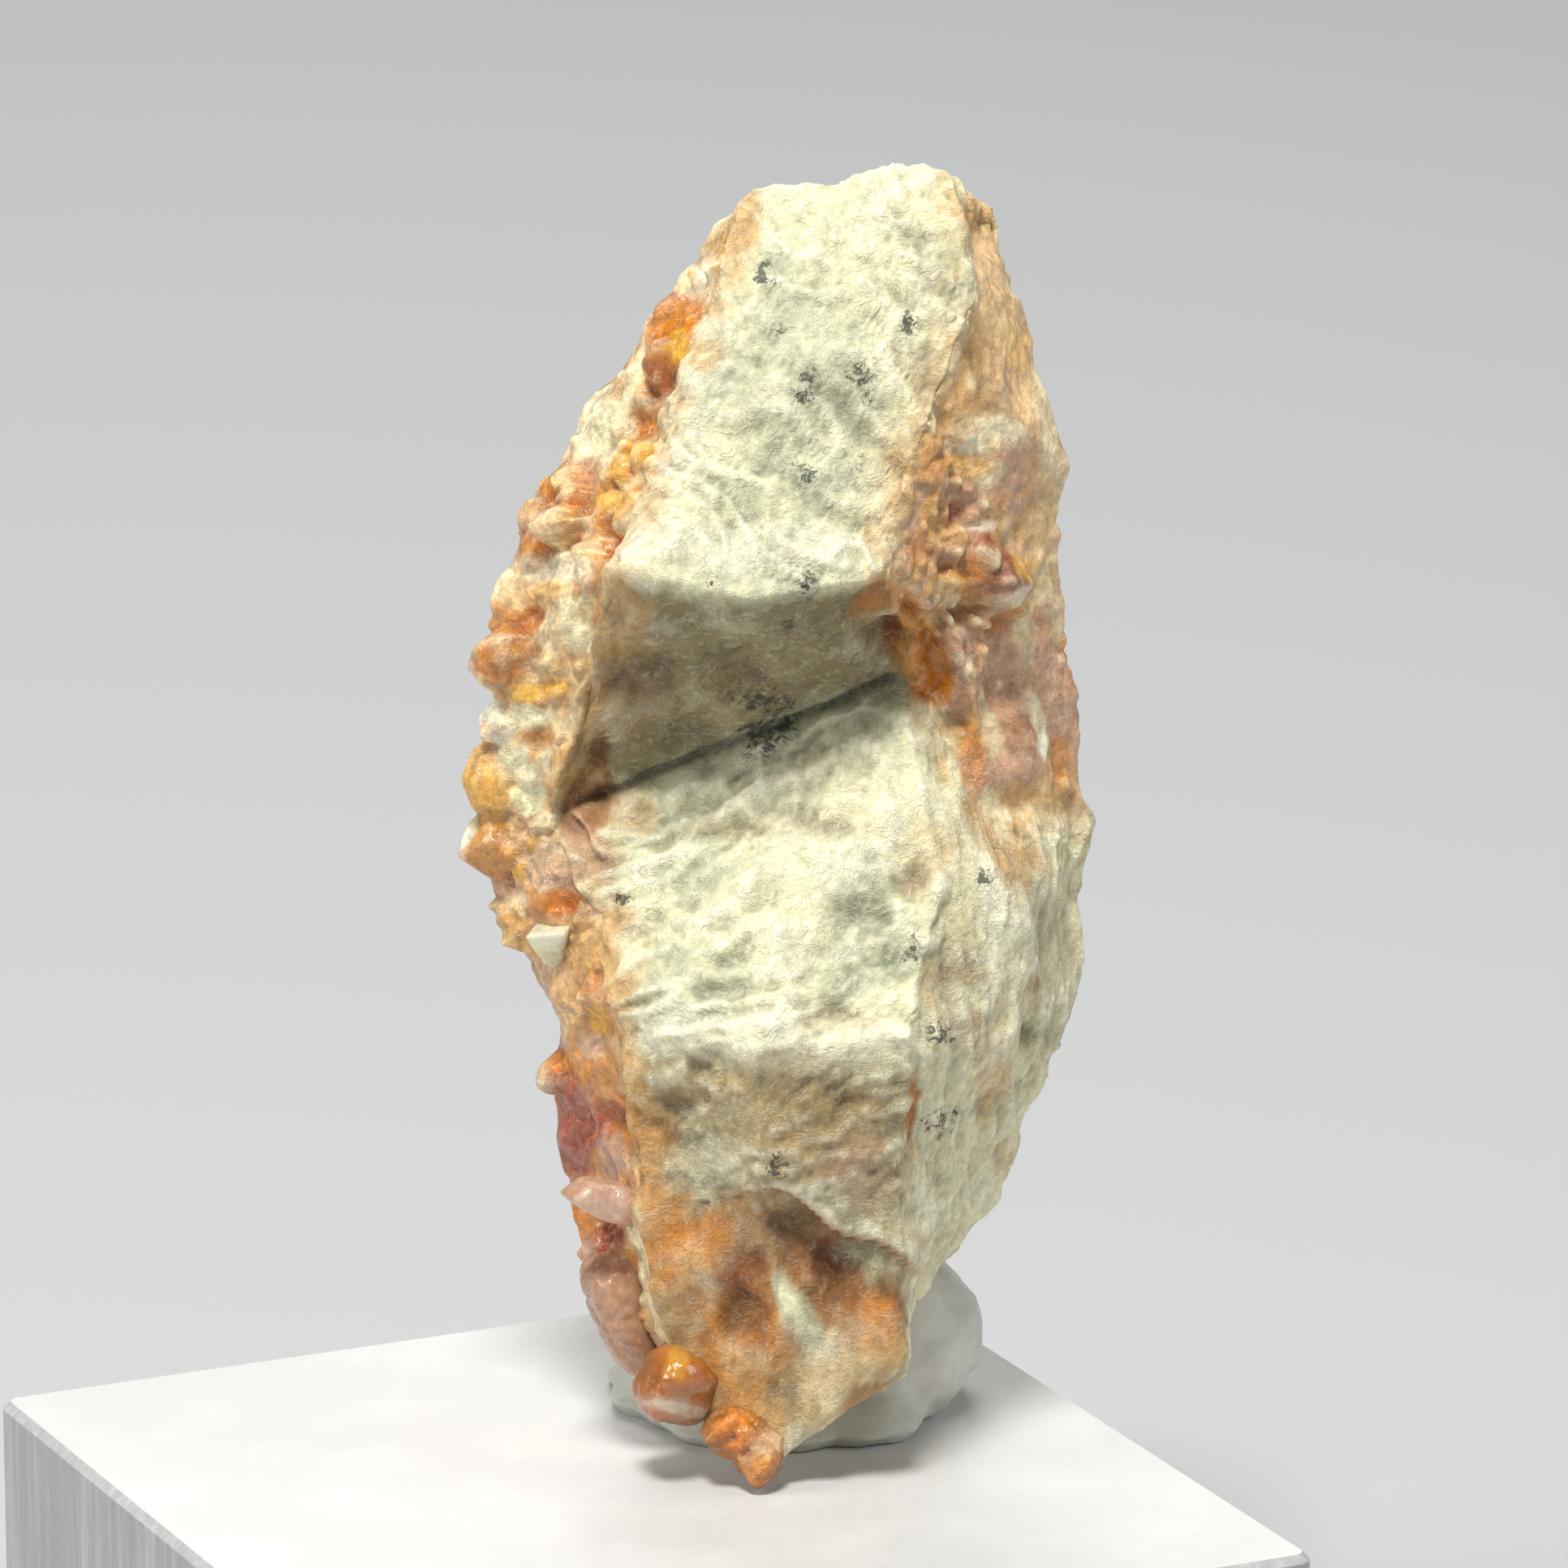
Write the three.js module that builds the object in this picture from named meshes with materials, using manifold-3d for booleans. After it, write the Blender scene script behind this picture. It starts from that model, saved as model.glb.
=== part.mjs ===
// A garnet specimen held by putty on a square acrylic display block.
// Millimetres, +Z up. The origin is the centre of the block's underside.
import * as THREE from "three";
import { ConvexGeometry } from "three/addons/geometries/ConvexGeometry.js";
import { mergeVertices } from "three/addons/utils/BufferGeometryUtils.js";
import Module from "manifold-3d";

const wasm = await Module();
wasm.setup();

// Display block
const BLOCK_SIDE = 32;
const BLOCK_HEIGHT = 12.7;
const BLOCK_CORNER = 0.4;
const BLOCK_CHAMFER = 0.25;

// Where the stone stands on the block, and how far it is turned from the block's sides
const STONE_X = 6.7;
const STONE_Y = 3.5;
const STONE_TURN = THREE.MathUtils.degToRad(-25.25);

// Clear gap between two pieces that touch
const GAP = 0.32;

// Putty wad, in the stone's frame
const PUTTY_CENTRE = [0.25, 1.7];
const PUTTY_RADIUS = 6;
const PUTTY_HEIGHT = 6.6;
const PUTTY_LUMP = 0.35;

// Roughness of the broken stone: height and width of its large and small lumps
const LUMP_HEIGHT = 0.5;
const LUMP_WIDTH = 3.6;
const BUMP_HEIGHT = 0.26;
const BUMP_WIDTH = 1.5;

// How finely each panel of the stone is divided, across and up
const ACROSS = 4;
const UP = 4;

// The stone as rings of corners, from its foot to its top, in the stone's frame:
// x to the right, y away from the viewer, z up from the block's top.
// Each ring goes left, left-front edge, front, right-front ridge, right side, right, back-right, back, back-left.
const RINGS = [
  // Rim of the slanting underside, lowest at the front tip
  [[-6.2, -2, 3.8], [-2.9, -6.4, 2.1], [-0.3, -7.3, 0.8], [3.7, -6.9, 3.7], [4.4, -3, 4.6],
    [5.6, 1.5, 5.1], [4.5, 4.8, 6], [0, 5.4, 6], [-4.5, 2.6, 5]],
  // Lower front, under the second ledge
  [[-6.8, -1.5, 7.4], [-4.5, -6.5, 8.9], [-0.4, -7.9, 9.4], [3.7, -8, 9.4], [5.2, -4, 8.1],
    [6.5, 0, 7.1], [6, 5.2, 10], [0, 6.8, 10], [-6, 4, 10]],
  // Second ledge
  [[-7.4, -1.5, 14.1], [-5.1, -6.3, 15.3], [-0.9, -9, 15.1], [3.8, -8.5, 15.4], [6.8, -4, 13.8],
    [8.9, 0, 12.6], [7.5, 5.4, 15], [0, 7.4, 15], [-7, 4.4, 14]],
  // Shoulder of the lower half, the widest ring
  [[-9.6, -1, 17.6], [-5.9, -4.5, 18.4], [-0.9, -6.3, 18.7], [5, -6, 19.4], [7.8, -3, 19.1],
    [10.1, 1, 18.8], [8.5, 5.6, 20], [0, 7.8, 20], [-8, 4.8, 19]],
  // Crease under the upper ledge, rising to the right
  [[-10, -0.5, 21.1], [-7.1, -2.7, 20.9], [-0.9, -2.3, 23.6], [3.6, -2.1, 25.5], [6.3, -2.8, 23.8],
    [9.4, 1, 22.5], [8.5, 5.6, 24], [0, 7.8, 25], [-8, 4.8, 24]],
  // Upper ledge
  [[-9.3, -0.5, 26.9], [-4.9, -6.5, 30.2], [-0.9, -7.2, 29.4], [3, -6.2, 29.7], [6, -3, 28.7],
    [9.1, 1, 27.2], [8, 5.6, 29], [0, 7.4, 30], [-7.6, 4.8, 29]],
  // Upper body
  [[-8.3, -0.5, 30.5], [-3.9, -4.3, 33.3], [0, -4.9, 33.4], [4.4, -4, 33.7], [6.8, -1.5, 33.5],
    [8.7, 1.5, 33], [7, 5.6, 34], [0, 7, 35], [-5.6, 4.6, 33.5]],
  // Brow
  [[-4, 1, 36.6], [-2, -1.5, 38.1], [1.4, -2, 38], [6, -1.5, 38.1], [7.3, 0.5, 37.4],
    [7.9, 2.5, 36.7], [6.5, 5.4, 37.5], [1.5, 6.4, 38], [-2.3, 4.4, 37.3]],
  // Top rim
  [[-1.5, 1.5, 39.7], [-0.8, 0.5, 40.4], [1.9, 0.5, 40.6], [5.1, 1, 41], [6, 2, 40],
    [6.6, 3, 39.3], [5.5, 4.8, 39.5], [2, 5.2, 40], [-0.4, 3.6, 39.7]],
];
const UNDERSIDE_MIDDLE = [-0.3, -1, 3.6];
const TOP_MIDDLE = [2.4, 2.6, 41];
const COLUMNS = RINGS[0].length;

// Crusts of garnet let into the stone. Each covers some rings, and at even steps up from its lower end
// runs from one column to another. It stands a little out of the stone and carries rows of crystals:
// the rings they cover, rows and number in a row, smallest and largest radius, and how deep they are sunk
// as a share of the radius. Knobs are larger lumps: x, y, z and radius.
const CRUST_LEFT = {
  rings: [0.35, 7.55], from: [7.5, 7.4, 7.4, 7.5, 7.6], to: [9.93, 9.9, 9.95, 9.9, 9.95], stand: 0.1, seed: 3,
  crystals: { rings: [0.6, 7.5], rows: 11, across: 4, radius: [1.2, 1.8], sunk: 0.47 },
  knobs: [[-8.8, -1.2, 25.7, 1.3], [-9, -1, 23.7, 1.35], [-9.5, -0.8, 21.7, 1.35], [-9.4, -0.6, 19.5, 1.5],
    [-7.1, -2, 30.4, 1.1], [-3.4, -1, 35.4, 1.1], [-7.2, -1.8, 12.2, 1.1]],
};
const CRUST_RIGHT = {
  rings: [3.35, 7.75], from: [3.75, 3.15, 3.08, 3.08, 3.08], to: [5.3, 5.45, 5.5, 5.45, 5.4], stand: 0.05, seed: 41,
  crystals: { rings: [3.7, 6.5], rows: 7, across: 3, radius: [1.0, 1.6], sunk: 0.74 },
  knobs: [[5.9, -2.4, 29.3, 1.0], [6.7, -1.9, 28.4, 1.05]],
};
const CRUST_DEPTH = 1.2;
const CRUST_REACH = 1.5;
const CRUST_EDGE = 0.1;

// Single crystals: centre in the stone's frame, half sizes and turn in degrees
const GARNET_FOOT = { at: [-3.7, -6.7, 3.5], half: [1.3, 1.15, 1.2], turn: [12, 30, 10] };
const GARNET_TIP = [
  { at: [-0.95, -7.9, 1.15], half: [0.9, 0.85, 0.85], turn: [25, 10, 40] },
  { at: [-1.7, -7.5, 1.8], half: [0.95, 0.95, 0.9], turn: [5, 30, 20] },
  { at: [-0.2, -7.5, 1.3], half: [0.8, 0.8, 0.7], turn: [40, 20, 0] },
];
const QUARTZ_BLADE = { at: [-5.9, -4.7, 8.9], half: [1.35, 0.7, 0.6], turn: [0, 18, 25] };
const QUARTZ_CHIP = { at: [-7.5, -3.1, 17.0], half: [0.65, 0.6, 0.8], turn: [10, 25, 15] };
const QUARTZ_FOOT = { at: [-5.6, -3.9, 5.0], half: [1.3, 1.5, 1.6], turn: [5, -30, 30] };

// A repeatable number from 0 to 1 for a point of a grid
function hash(x, y, z) {
  const s = Math.sin(x * 127.1 + y * 311.7 + z * 74.7) * 43758.5453;
  return s - Math.floor(s);
}

// Smooth value noise from -1 to 1
function noise(x, y, z) {
  const cell = [Math.floor(x), Math.floor(y), Math.floor(z)];
  const part = [x - cell[0], y - cell[1], z - cell[2]].map((t) => t * t * (3 - 2 * t));
  let sum = 0;
  for (let corner = 0; corner < 8; corner++) {
    const step = [corner & 1, (corner >> 1) & 1, corner >> 2];
    const weight = step.reduce((w, s, i) => w * (s ? part[i] : 1 - part[i]), 1);
    sum += weight * hash(cell[0] + step[0], cell[1] + step[1], cell[2] + step[2]);
  }
  return 2 * sum - 1;
}

// A seeded random number generator, so that every build is the same
function random(seed) {
  let count = 0;
  return () => hash(seed, ++count, 0.5);
}

// A point of the stone's panels: u counts columns around, v counts rings up
function panelPoint(u, v) {
  const ring = Math.min(Math.max(Math.floor(v), 0), RINGS.length - 2);
  const column = Math.floor(u);
  const a = u - column;
  const b = v - ring;
  const corner = (r, c) => new THREE.Vector3(...RINGS[r][((c % COLUMNS) + COLUMNS) % COLUMNS]);
  const low = corner(ring, column).lerp(corner(ring, column + 1), a);
  const high = corner(ring + 1, column).lerp(corner(ring + 1, column + 1), a);
  return low.lerp(high, b);
}

// The way out of the stone at a point of its panels
function panelNormal(u, v) {
  const step = 0.3;
  const around = panelPoint(u + step, v).sub(panelPoint(u - step, v));
  const up = panelPoint(u, v + step).sub(panelPoint(u, v - step));
  return around.cross(up).normalize();
}

// How far lumps and bumps move a point of the stone outwards
function relief(p) {
  const lump = noise(p.x / LUMP_WIDTH, p.y / LUMP_WIDTH, p.z / LUMP_WIDTH);
  const bump = noise(p.x / BUMP_WIDTH + 9, p.y / BUMP_WIDTH, p.z / BUMP_WIDTH);
  return LUMP_HEIGHT * lump + BUMP_HEIGHT * bump;
}

// The whole stone as one closed mesh, moved outwards by grow
function stoneGeometry(grow) {
  const across = COLUMNS * ACROSS;
  const up = (RINGS.length - 1) * UP;
  const points = [];
  for (let j = 0; j <= up; j++) {
    for (let i = 0; i < across; i++) {
      const p = panelPoint(i / ACROSS, j / UP);
      points.push(p.addScaledVector(panelNormal(i / ACROSS, j / UP), relief(p) + grow));
    }
  }
  const bottom = points.push(new THREE.Vector3(...UNDERSIDE_MIDDLE).setZ(UNDERSIDE_MIDDLE[2] - grow)) - 1;
  const top = points.push(new THREE.Vector3(...TOP_MIDDLE).setZ(TOP_MIDDLE[2] + grow)) - 1;
  const faces = [];
  for (let i = 0; i < across; i++) {
    const next = (i + 1) % across;
    faces.push(bottom, next, i, top, up * across + i, up * across + next);
    for (let j = 0; j < up; j++) {
      const a = j * across + i;
      const b = j * across + next;
      faces.push(a, b, b + across, a, b + across, a + across);
    }
  }
  return new THREE.BufferGeometry().setFromPoints(points).setIndex(faces);
}

// A closed three.js mesh as a solid that can be joined and cut
function solidOf(geometry, matrix = new THREE.Matrix4()) {
  const bare = new THREE.BufferGeometry().setAttribute("position", geometry.getAttribute("position").clone());
  bare.setIndex(geometry.index);
  const merged = mergeVertices(bare.applyMatrix4(matrix), 1e-4);
  return new wasm.Manifold(
    new wasm.Mesh({
      numProp: 3,
      vertProperties: merged.attributes.position.array,
      triVerts: new Uint32Array(merged.index.array),
    }),
  );
}

// The largest body of a solid, without slivers that a cut left loose
function mainBody(solid) {
  return solid.decompose().reduce((most, body) => (body.volume() > most.volume() ? body : most));
}

// A solid back as a three.js geometry
function geometryOf(solid) {
  const mesh = solid.getMesh();
  const geometry = new THREE.BufferGeometry();
  geometry.setAttribute("position", new THREE.BufferAttribute(new Float32Array(mesh.vertProperties), 3));
  geometry.setIndex(new THREE.BufferAttribute(new Uint32Array(mesh.triVerts), 1));
  geometry.computeVertexNormals();
  return geometry;
}

// Every sign and order of three numbers, as points
function starOfPoints(x, y, z) {
  const orders = [[x, y, z], [y, z, x], [z, x, y], [x, z, y], [z, y, x], [y, x, z]];
  const points = new Map();
  for (const order of orders) {
    for (let signs = 0; signs < 8; signs++) {
      const p = order.map((value, i) => ((signs >> i) & 1 ? -value : value) + 0);
      points.set(p.join(), new THREE.Vector3(...p));
    }
  }
  return [...points.values()];
}

// Rhombic dodecahedron of garnet, radius 1: twelve lozenge faces
function dodecahedron() {
  return new ConvexGeometry([...starOfPoints(1, 0, 0), ...starOfPoints(0.5, 0.5, 0.5)]);
}

// Trapezohedron of garnet, radius 1: twenty-four kite faces
function trapezohedron() {
  const points = [...starOfPoints(1, 0, 0), ...starOfPoints(2 / 3, 2 / 3, 0), ...starOfPoints(0.5, 0.5, 0.5)];
  return new ConvexGeometry(points);
}

// Six-sided quartz crystal, half height 1, with a point at each end
function quartzPrism() {
  const points = [new THREE.Vector3(0, 0, 1), new THREE.Vector3(0, 0, -1)];
  for (let side = 0; side < 6; side++) {
    const angle = (side * Math.PI) / 3;
    points.push(new THREE.Vector3(Math.cos(angle), Math.sin(angle), 0.45));
    points.push(new THREE.Vector3(Math.cos(angle), Math.sin(angle), -0.5));
  }
  return new ConvexGeometry(points);
}

// One crystal set in place, grown all round by grow
function crystal(shape, { at, half, turn }, grow = 0) {
  const angles = new THREE.Euler(...turn.map(THREE.MathUtils.degToRad));
  const size = new THREE.Vector3(...half).addScalar(grow);
  const place = new THREE.Matrix4().compose(
    new THREE.Vector3(...at),
    new THREE.Quaternion().setFromEuler(angles),
    size,
  );
  return solidOf(shape, place);
}

// The value at t, from 0 to 1, along a list of evenly spaced values
function along(values, t) {
  const place = t * (values.length - 1);
  const i = Math.min(Math.floor(place), values.length - 2);
  return THREE.MathUtils.lerp(values[i], values[i + 1], place - i);
}

// The place in the panels of a point of a crust's field: s and t run from 0 to 1 across and up it.
// The sides of the field wander a little, and wide moves all its edges outwards.
function fieldPlace({ rings, from, to, seed }, s, t, wide) {
  let v = THREE.MathUtils.lerp(...rings, t);
  let u = THREE.MathUtils.lerp(along(from, t), along(to, t), s);
  const wander = (where) => CRUST_EDGE * noise(2.3 * where, seed, 4 * (s + t));
  u += wander(v) * (2 * s - 1) ** 2;
  v += 1.5 * wander(u) * (2 * t - 1) ** 2;
  const length = (du, dv) => panelPoint(u + du, v + dv).distanceTo(panelPoint(u - du, v - dv));
  const sideways = wide / (10 * length(0.05, 0));
  const upwards = wide / (10 * length(0, 0.05));
  if (s === 0) u -= sideways;
  if (s === 1) u += sideways;
  if (t === 0) v -= upwards;
  if (t === 1) v += upwards;
  return [u, v];
}

// A closed slab that follows the stone's panels over a crust's field, from inside to outside of them
function fieldSolid(field, wide, inside, outside, rough) {
  const across = Math.round(2 * (field.to[1] - field.from[1]) + 1);
  const up = Math.round(2.5 * (field.rings[1] - field.rings[0]) + 1);
  const points = [];
  for (const side of [-1, 1]) {
    for (let j = 0; j <= up; j++) {
      for (let i = 0; i <= across; i++) {
        const [u, v] = fieldPlace(field, i / across, j / up, wide);
        const p = panelPoint(u, v);
        const height = side > 0 ? outside + (rough ? relief(p) : 0) : -inside;
        points.push(p.addScaledVector(panelNormal(u, v), height));
      }
    }
  }
  const row = across + 1;
  const sheet = row * (up + 1);
  const faces = [];
  const quad = (a, b, c, d) => faces.push(a, b, c, a, c, d);
  for (let j = 0; j < up; j++) {
    for (let i = 0; i < across; i++) {
      const a = j * row + i;
      quad(a, a + row, a + row + 1, a + 1);
      quad(sheet + a, sheet + a + 1, sheet + a + row + 1, sheet + a + row);
    }
    quad(j * row, sheet + j * row, sheet + (j + 1) * row, (j + 1) * row);
    const last = j * row + across;
    quad(last, last + row, sheet + last + row, sheet + last);
  }
  for (let i = 0; i < across; i++) {
    quad(i, i + 1, sheet + i + 1, sheet + i);
    const top = up * row + i;
    quad(top, sheet + top, sheet + top + 1, top + 1);
  }
  return solidOf(new THREE.BufferGeometry().setFromPoints(points).setIndex(faces));
}

// The crystals of one crust: rows of garnets that lean on each other and stand partly out of the stone
function crustCrystals(field) {
  const { rings, rows, across, radius, sunk } = field.crystals;
  const kinds = [dodecahedron(), trapezohedron()];
  const next = random(field.seed);
  const solids = [];
  for (let row = 0; row < rows; row++) {
    for (let i = 0; i < across; i++) {
      const v = THREE.MathUtils.lerp(...rings, (row + 0.5 * next() + 0.5 * (i % 2)) / rows);
      const t = THREE.MathUtils.inverseLerp(...field.rings, v);
      const s = (i + 0.5 + 0.4 * (next() - 0.5)) / across;
      const u = THREE.MathUtils.lerp(along(field.from, t), along(field.to, t), s);
      const size = THREE.MathUtils.lerp(...radius, next() ** 2);
      const at = panelPoint(u, v).addScaledVector(panelNormal(u, v), -sunk * size);
      const turn = [360 * next(), 360 * next(), 360 * next()];
      solids.push(crystal(kinds[next() > 0.8 ? 1 : 0], { at, half: [size, size, size], turn }));
    }
  }
  for (const [x, y, z, r] of field.knobs) {
    const turn = [360 * next(), 360 * next(), 360 * next()];
    solids.push(crystal(kinds[1], { at: [x, y, z], half: [r, r, r], turn }));
  }
  return wasm.Manifold.union(solids);
}

// A crust as one solid: a bed that lies in the stone, with crystals on it
function crustSolid(field) {
  const room = fieldSolid(field, 0, CRUST_DEPTH, CRUST_REACH, false);
  const bed = fieldSolid(field, 0, CRUST_DEPTH, field.stand, true);
  return mainBody(bed.add(crustCrystals(field).intersect(room)));
}

// The room that a crust takes in the stone, with a gap around it
function crustRoom(field) {
  return fieldSolid(field, 1.5 * GAP, CRUST_DEPTH + GAP, CRUST_REACH + 0.5, false);
}

// The putty before the stone is pressed into it: a squashed lumpy ball with a flat foot
function wadSolid() {
  const ball = new THREE.SphereGeometry(1, 20, 14);
  const position = ball.getAttribute("position");
  const p = new THREE.Vector3();
  for (let i = 0; i < position.count; i++) {
    p.fromBufferAttribute(position, i);
    const lump = 1 + (PUTTY_LUMP / PUTTY_RADIUS) * noise(2.2 * p.x + 5, 2.2 * p.y, 2.2 * p.z);
    const height = PUTTY_HEIGHT * (0.5 + 0.62 * p.z * lump);
    position.setXYZ(i, PUTTY_RADIUS * p.x * lump, PUTTY_RADIUS * p.y * lump, Math.max(height, GAP));
  }
  return solidOf(ball, new THREE.Matrix4().makeTranslation(...PUTTY_CENTRE, 0));
}

// The square block, with small rounds at its corners and chamfered edges
function blockGeometry() {
  const half = BLOCK_SIDE / 2 - BLOCK_CHAMFER;
  const arc = BLOCK_CORNER;
  const outline = new THREE.Shape();
  outline.moveTo(-half + arc, -half);
  outline.lineTo(half - arc, -half);
  outline.absarc(half - arc, -half + arc, arc, -Math.PI / 2, 0);
  outline.lineTo(half, half - arc);
  outline.absarc(half - arc, half - arc, arc, 0, Math.PI / 2);
  outline.lineTo(-half + arc, half);
  outline.absarc(-half + arc, half - arc, arc, Math.PI / 2, Math.PI);
  outline.lineTo(-half, -half + arc);
  outline.absarc(-half + arc, -half + arc, arc, Math.PI, 1.5 * Math.PI);
  const geometry = new THREE.ExtrudeGeometry(outline, {
    depth: BLOCK_HEIGHT - 2 * BLOCK_CHAMFER,
    bevelThickness: BLOCK_CHAMFER,
    bevelSize: BLOCK_CHAMFER,
    bevelSegments: 1,
    curveSegments: 3,
  });
  return geometry.translate(0, 0, BLOCK_CHAMFER);
}

// A named mesh with its own finish
function piece(name, geometry, color, roughness) {
  const mesh = new THREE.Mesh(geometry, new THREE.MeshStandardMaterial({ color, roughness, metalness: 0 }));
  mesh.name = name;
  return mesh;
}

const specimen = new THREE.Group();
specimen.position.set(STONE_X, STONE_Y, BLOCK_HEIGHT);
specimen.rotation.z = STONE_TURN;

// Single crystals keep their whole shape, and every other piece is cut back from them
const joined = (shape, places, grow) => wasm.Manifold.union(places.map((place) => crystal(shape, place, grow)));
const singles = [
  ["garnet_foot", trapezohedron(), [GARNET_FOOT], 0xd07a26, 0.2],
  ["garnet_tip", dodecahedron(), GARNET_TIP, 0xc07a4c, 0.3],
  ["quartz_blade", quartzPrism(), [QUARTZ_BLADE], 0xd9b9aa, 0.15],
  ["quartz_chip", quartzPrism(), [QUARTZ_CHIP], 0xe4e2cc, 0.15],
  ["quartz_foot", quartzPrism(), [QUARTZ_FOOT], 0xc99484, 0.2],
];
for (const [name, shape, places, color, roughness] of singles) {
  specimen.add(piece(name, geometryOf(joined(shape, places, 0)), color, roughness));
}
const singleRoom = wasm.Manifold.union(singles.map(([, shape, places]) => joined(shape, places, GAP)));

const crustLeft = mainBody(crustSolid(CRUST_LEFT).subtract(singleRoom));
specimen.add(piece("garnet_crust_left", geometryOf(crustLeft), 0xc8763a, 0.35));
const crustRight = mainBody(crustSolid(CRUST_RIGHT).subtract(singleRoom));
specimen.add(piece("garnet_crust_right", geometryOf(crustRight), 0xc98a5c, 0.4));

const taken = wasm.Manifold.union([singleRoom, crustRoom(CRUST_LEFT), crustRoom(CRUST_RIGHT)]);
const matrix = mainBody(solidOf(stoneGeometry(0)).subtract(taken));
specimen.add(piece("matrix", geometryOf(matrix), 0xd8d4b4, 0.9));

const putty = mainBody(wadSolid().subtract(solidOf(stoneGeometry(GAP))).subtract(taken));
specimen.add(piece("putty", geometryOf(putty), 0xdcdad0, 0.7));

const part = new THREE.Group();
part.add(piece("display_block", blockGeometry(), 0xf2f3ef, 0.35), specimen);

export default part;
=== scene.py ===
"""A garnet specimen held by putty on a clear display block.

Every finished mesh is in metres, with +Z up and its origin at the centre of the block's underside.
The stone is worked out in millimetres in its own frame (x right, y away, z up from the block's top),
which is turned and moved onto the block at the end.
"""

import logging
import math
from dataclasses import dataclass, field
from enum import Enum

import bpy
import numpy as np
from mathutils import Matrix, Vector


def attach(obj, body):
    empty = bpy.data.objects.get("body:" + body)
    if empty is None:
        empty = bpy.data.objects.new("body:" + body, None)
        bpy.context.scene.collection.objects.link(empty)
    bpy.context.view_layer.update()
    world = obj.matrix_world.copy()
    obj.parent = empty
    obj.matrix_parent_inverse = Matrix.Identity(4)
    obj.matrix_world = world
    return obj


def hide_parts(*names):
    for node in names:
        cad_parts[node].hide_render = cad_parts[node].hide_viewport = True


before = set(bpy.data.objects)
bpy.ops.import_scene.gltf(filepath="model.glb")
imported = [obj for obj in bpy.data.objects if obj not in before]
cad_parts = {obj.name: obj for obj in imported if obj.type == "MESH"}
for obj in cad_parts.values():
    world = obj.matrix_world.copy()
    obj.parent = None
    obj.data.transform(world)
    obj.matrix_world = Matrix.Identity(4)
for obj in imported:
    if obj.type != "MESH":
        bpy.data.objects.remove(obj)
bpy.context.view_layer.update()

LOG = logging.getLogger("garnet_specimen")
MM = 0.001

BLOCK_HEIGHT = 12.7
STONE_PLACE = np.array([6.7, 3.5, BLOCK_HEIGHT])
STONE_TURN = math.radians(-25.25)

# The front view: a camera that looks down at the stone's middle from this far and this steeply
SIGHT_DISTANCE = 314.4
SIGHT_TILT = math.radians(15.1)
SIGHT_AIM = np.array([0, 1.26, 21])
TO_EYE = np.array([0, -math.cos(SIGHT_TILT), math.sin(SIGHT_TILT)])

# The stone as rings of corners, from its foot to its top, in the stone's frame. Each ring goes left,
# left-front edge, front, right-front ridge, right side, right, back-right, back, back-left.
RINGS = np.array([
    # Rim of the slanting underside, lowest at the front tip
    [[-6.2, -2, 3.8], [-2.9, -6.4, 2.1], [-0.3, -7.3, 0.8], [3.7, -6.9, 3.7], [4.4, -3, 4.6],
     [5.6, 1.5, 5.1], [4.5, 4.8, 6], [0, 5.4, 6], [-4.5, 2.6, 5]],
    # Lower front, under the second ledge
    [[-6.8, -1.5, 7.4], [-4.5, -6.5, 8.9], [-0.4, -7.9, 9.4], [3.7, -8, 9.4], [5.2, -4, 8.1],
     [6.5, 0, 7.1], [6, 5.2, 10], [0, 6.8, 10], [-6, 4, 10]],
    # Second ledge
    [[-7.4, -1.5, 14.1], [-5.1, -6.3, 15.3], [-0.9, -9, 15.1], [3.8, -8.5, 15.4], [6.8, -4, 13.8],
     [8.9, 0, 12.6], [7.5, 5.4, 15], [0, 7.4, 15], [-7, 4.4, 14]],
    # Shoulder of the lower half, the widest ring
    [[-9.6, -1, 17.6], [-5.9, -4.5, 18.4], [-0.9, -6.3, 18.7], [5, -6, 19.4], [7.8, -3, 19.1],
     [10.1, 1, 18.8], [8.5, 5.6, 20], [0, 7.8, 20], [-8, 4.8, 19]],
    # Crease under the upper ledge, rising to the right
    [[-10, -0.5, 21.1], [-7.1, -2.7, 20.9], [-0.9, -2.3, 23.6], [3.6, -2.1, 25.5], [6.3, -2.8, 23.8],
     [9.4, 1, 22.5], [8.5, 5.6, 24], [0, 7.8, 25], [-8, 4.8, 24]],
    # Upper ledge
    [[-9.3, -0.5, 26.9], [-4.9, -6.5, 30.2], [-0.9, -7.2, 29.4], [3, -6.2, 29.7], [6, -3, 28.7],
     [9.1, 1, 27.2], [8, 5.6, 29], [0, 7.4, 30], [-7.6, 4.8, 29]],
    # Upper body
    [[-8.3, -0.5, 30.5], [-3.9, -4.3, 33.3], [0, -4.9, 33.4], [4.4, -4, 33.7], [6.8, -1.5, 33.5],
     [8.7, 1.5, 33], [7, 5.6, 34], [0, 7, 35], [-5.6, 4.6, 33.5]],
    # Brow
    [[-4, 1, 36.6], [-2, -1.5, 38.1], [1.4, -2, 38], [6, -1.5, 38.1], [7.3, 0.5, 37.4],
     [7.9, 2.5, 36.7], [6.5, 5.4, 37.5], [1.5, 6.4, 38], [-2.3, 4.4, 37.3]],
    # Top rim
    [[-1.5, 1.5, 39.9], [-1.1, 0.5, 40.7], [1.9, 0.5, 40.9], [5.1, 1, 41.1], [6, 2, 40],
     [6.6, 3, 39.3], [5.5, 4.8, 39.5], [2, 5.2, 40], [-0.4, 3.6, 39.7]],
])
UNDERSIDE_MIDDLE = np.array([-0.3, -1.0, 3.6])
TOP_MIDDLE = np.array([2.4, 2.6, 40.6])
COLUMNS = RINGS.shape[1]
TOP_RING = RINGS.shape[0] - 1
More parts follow.
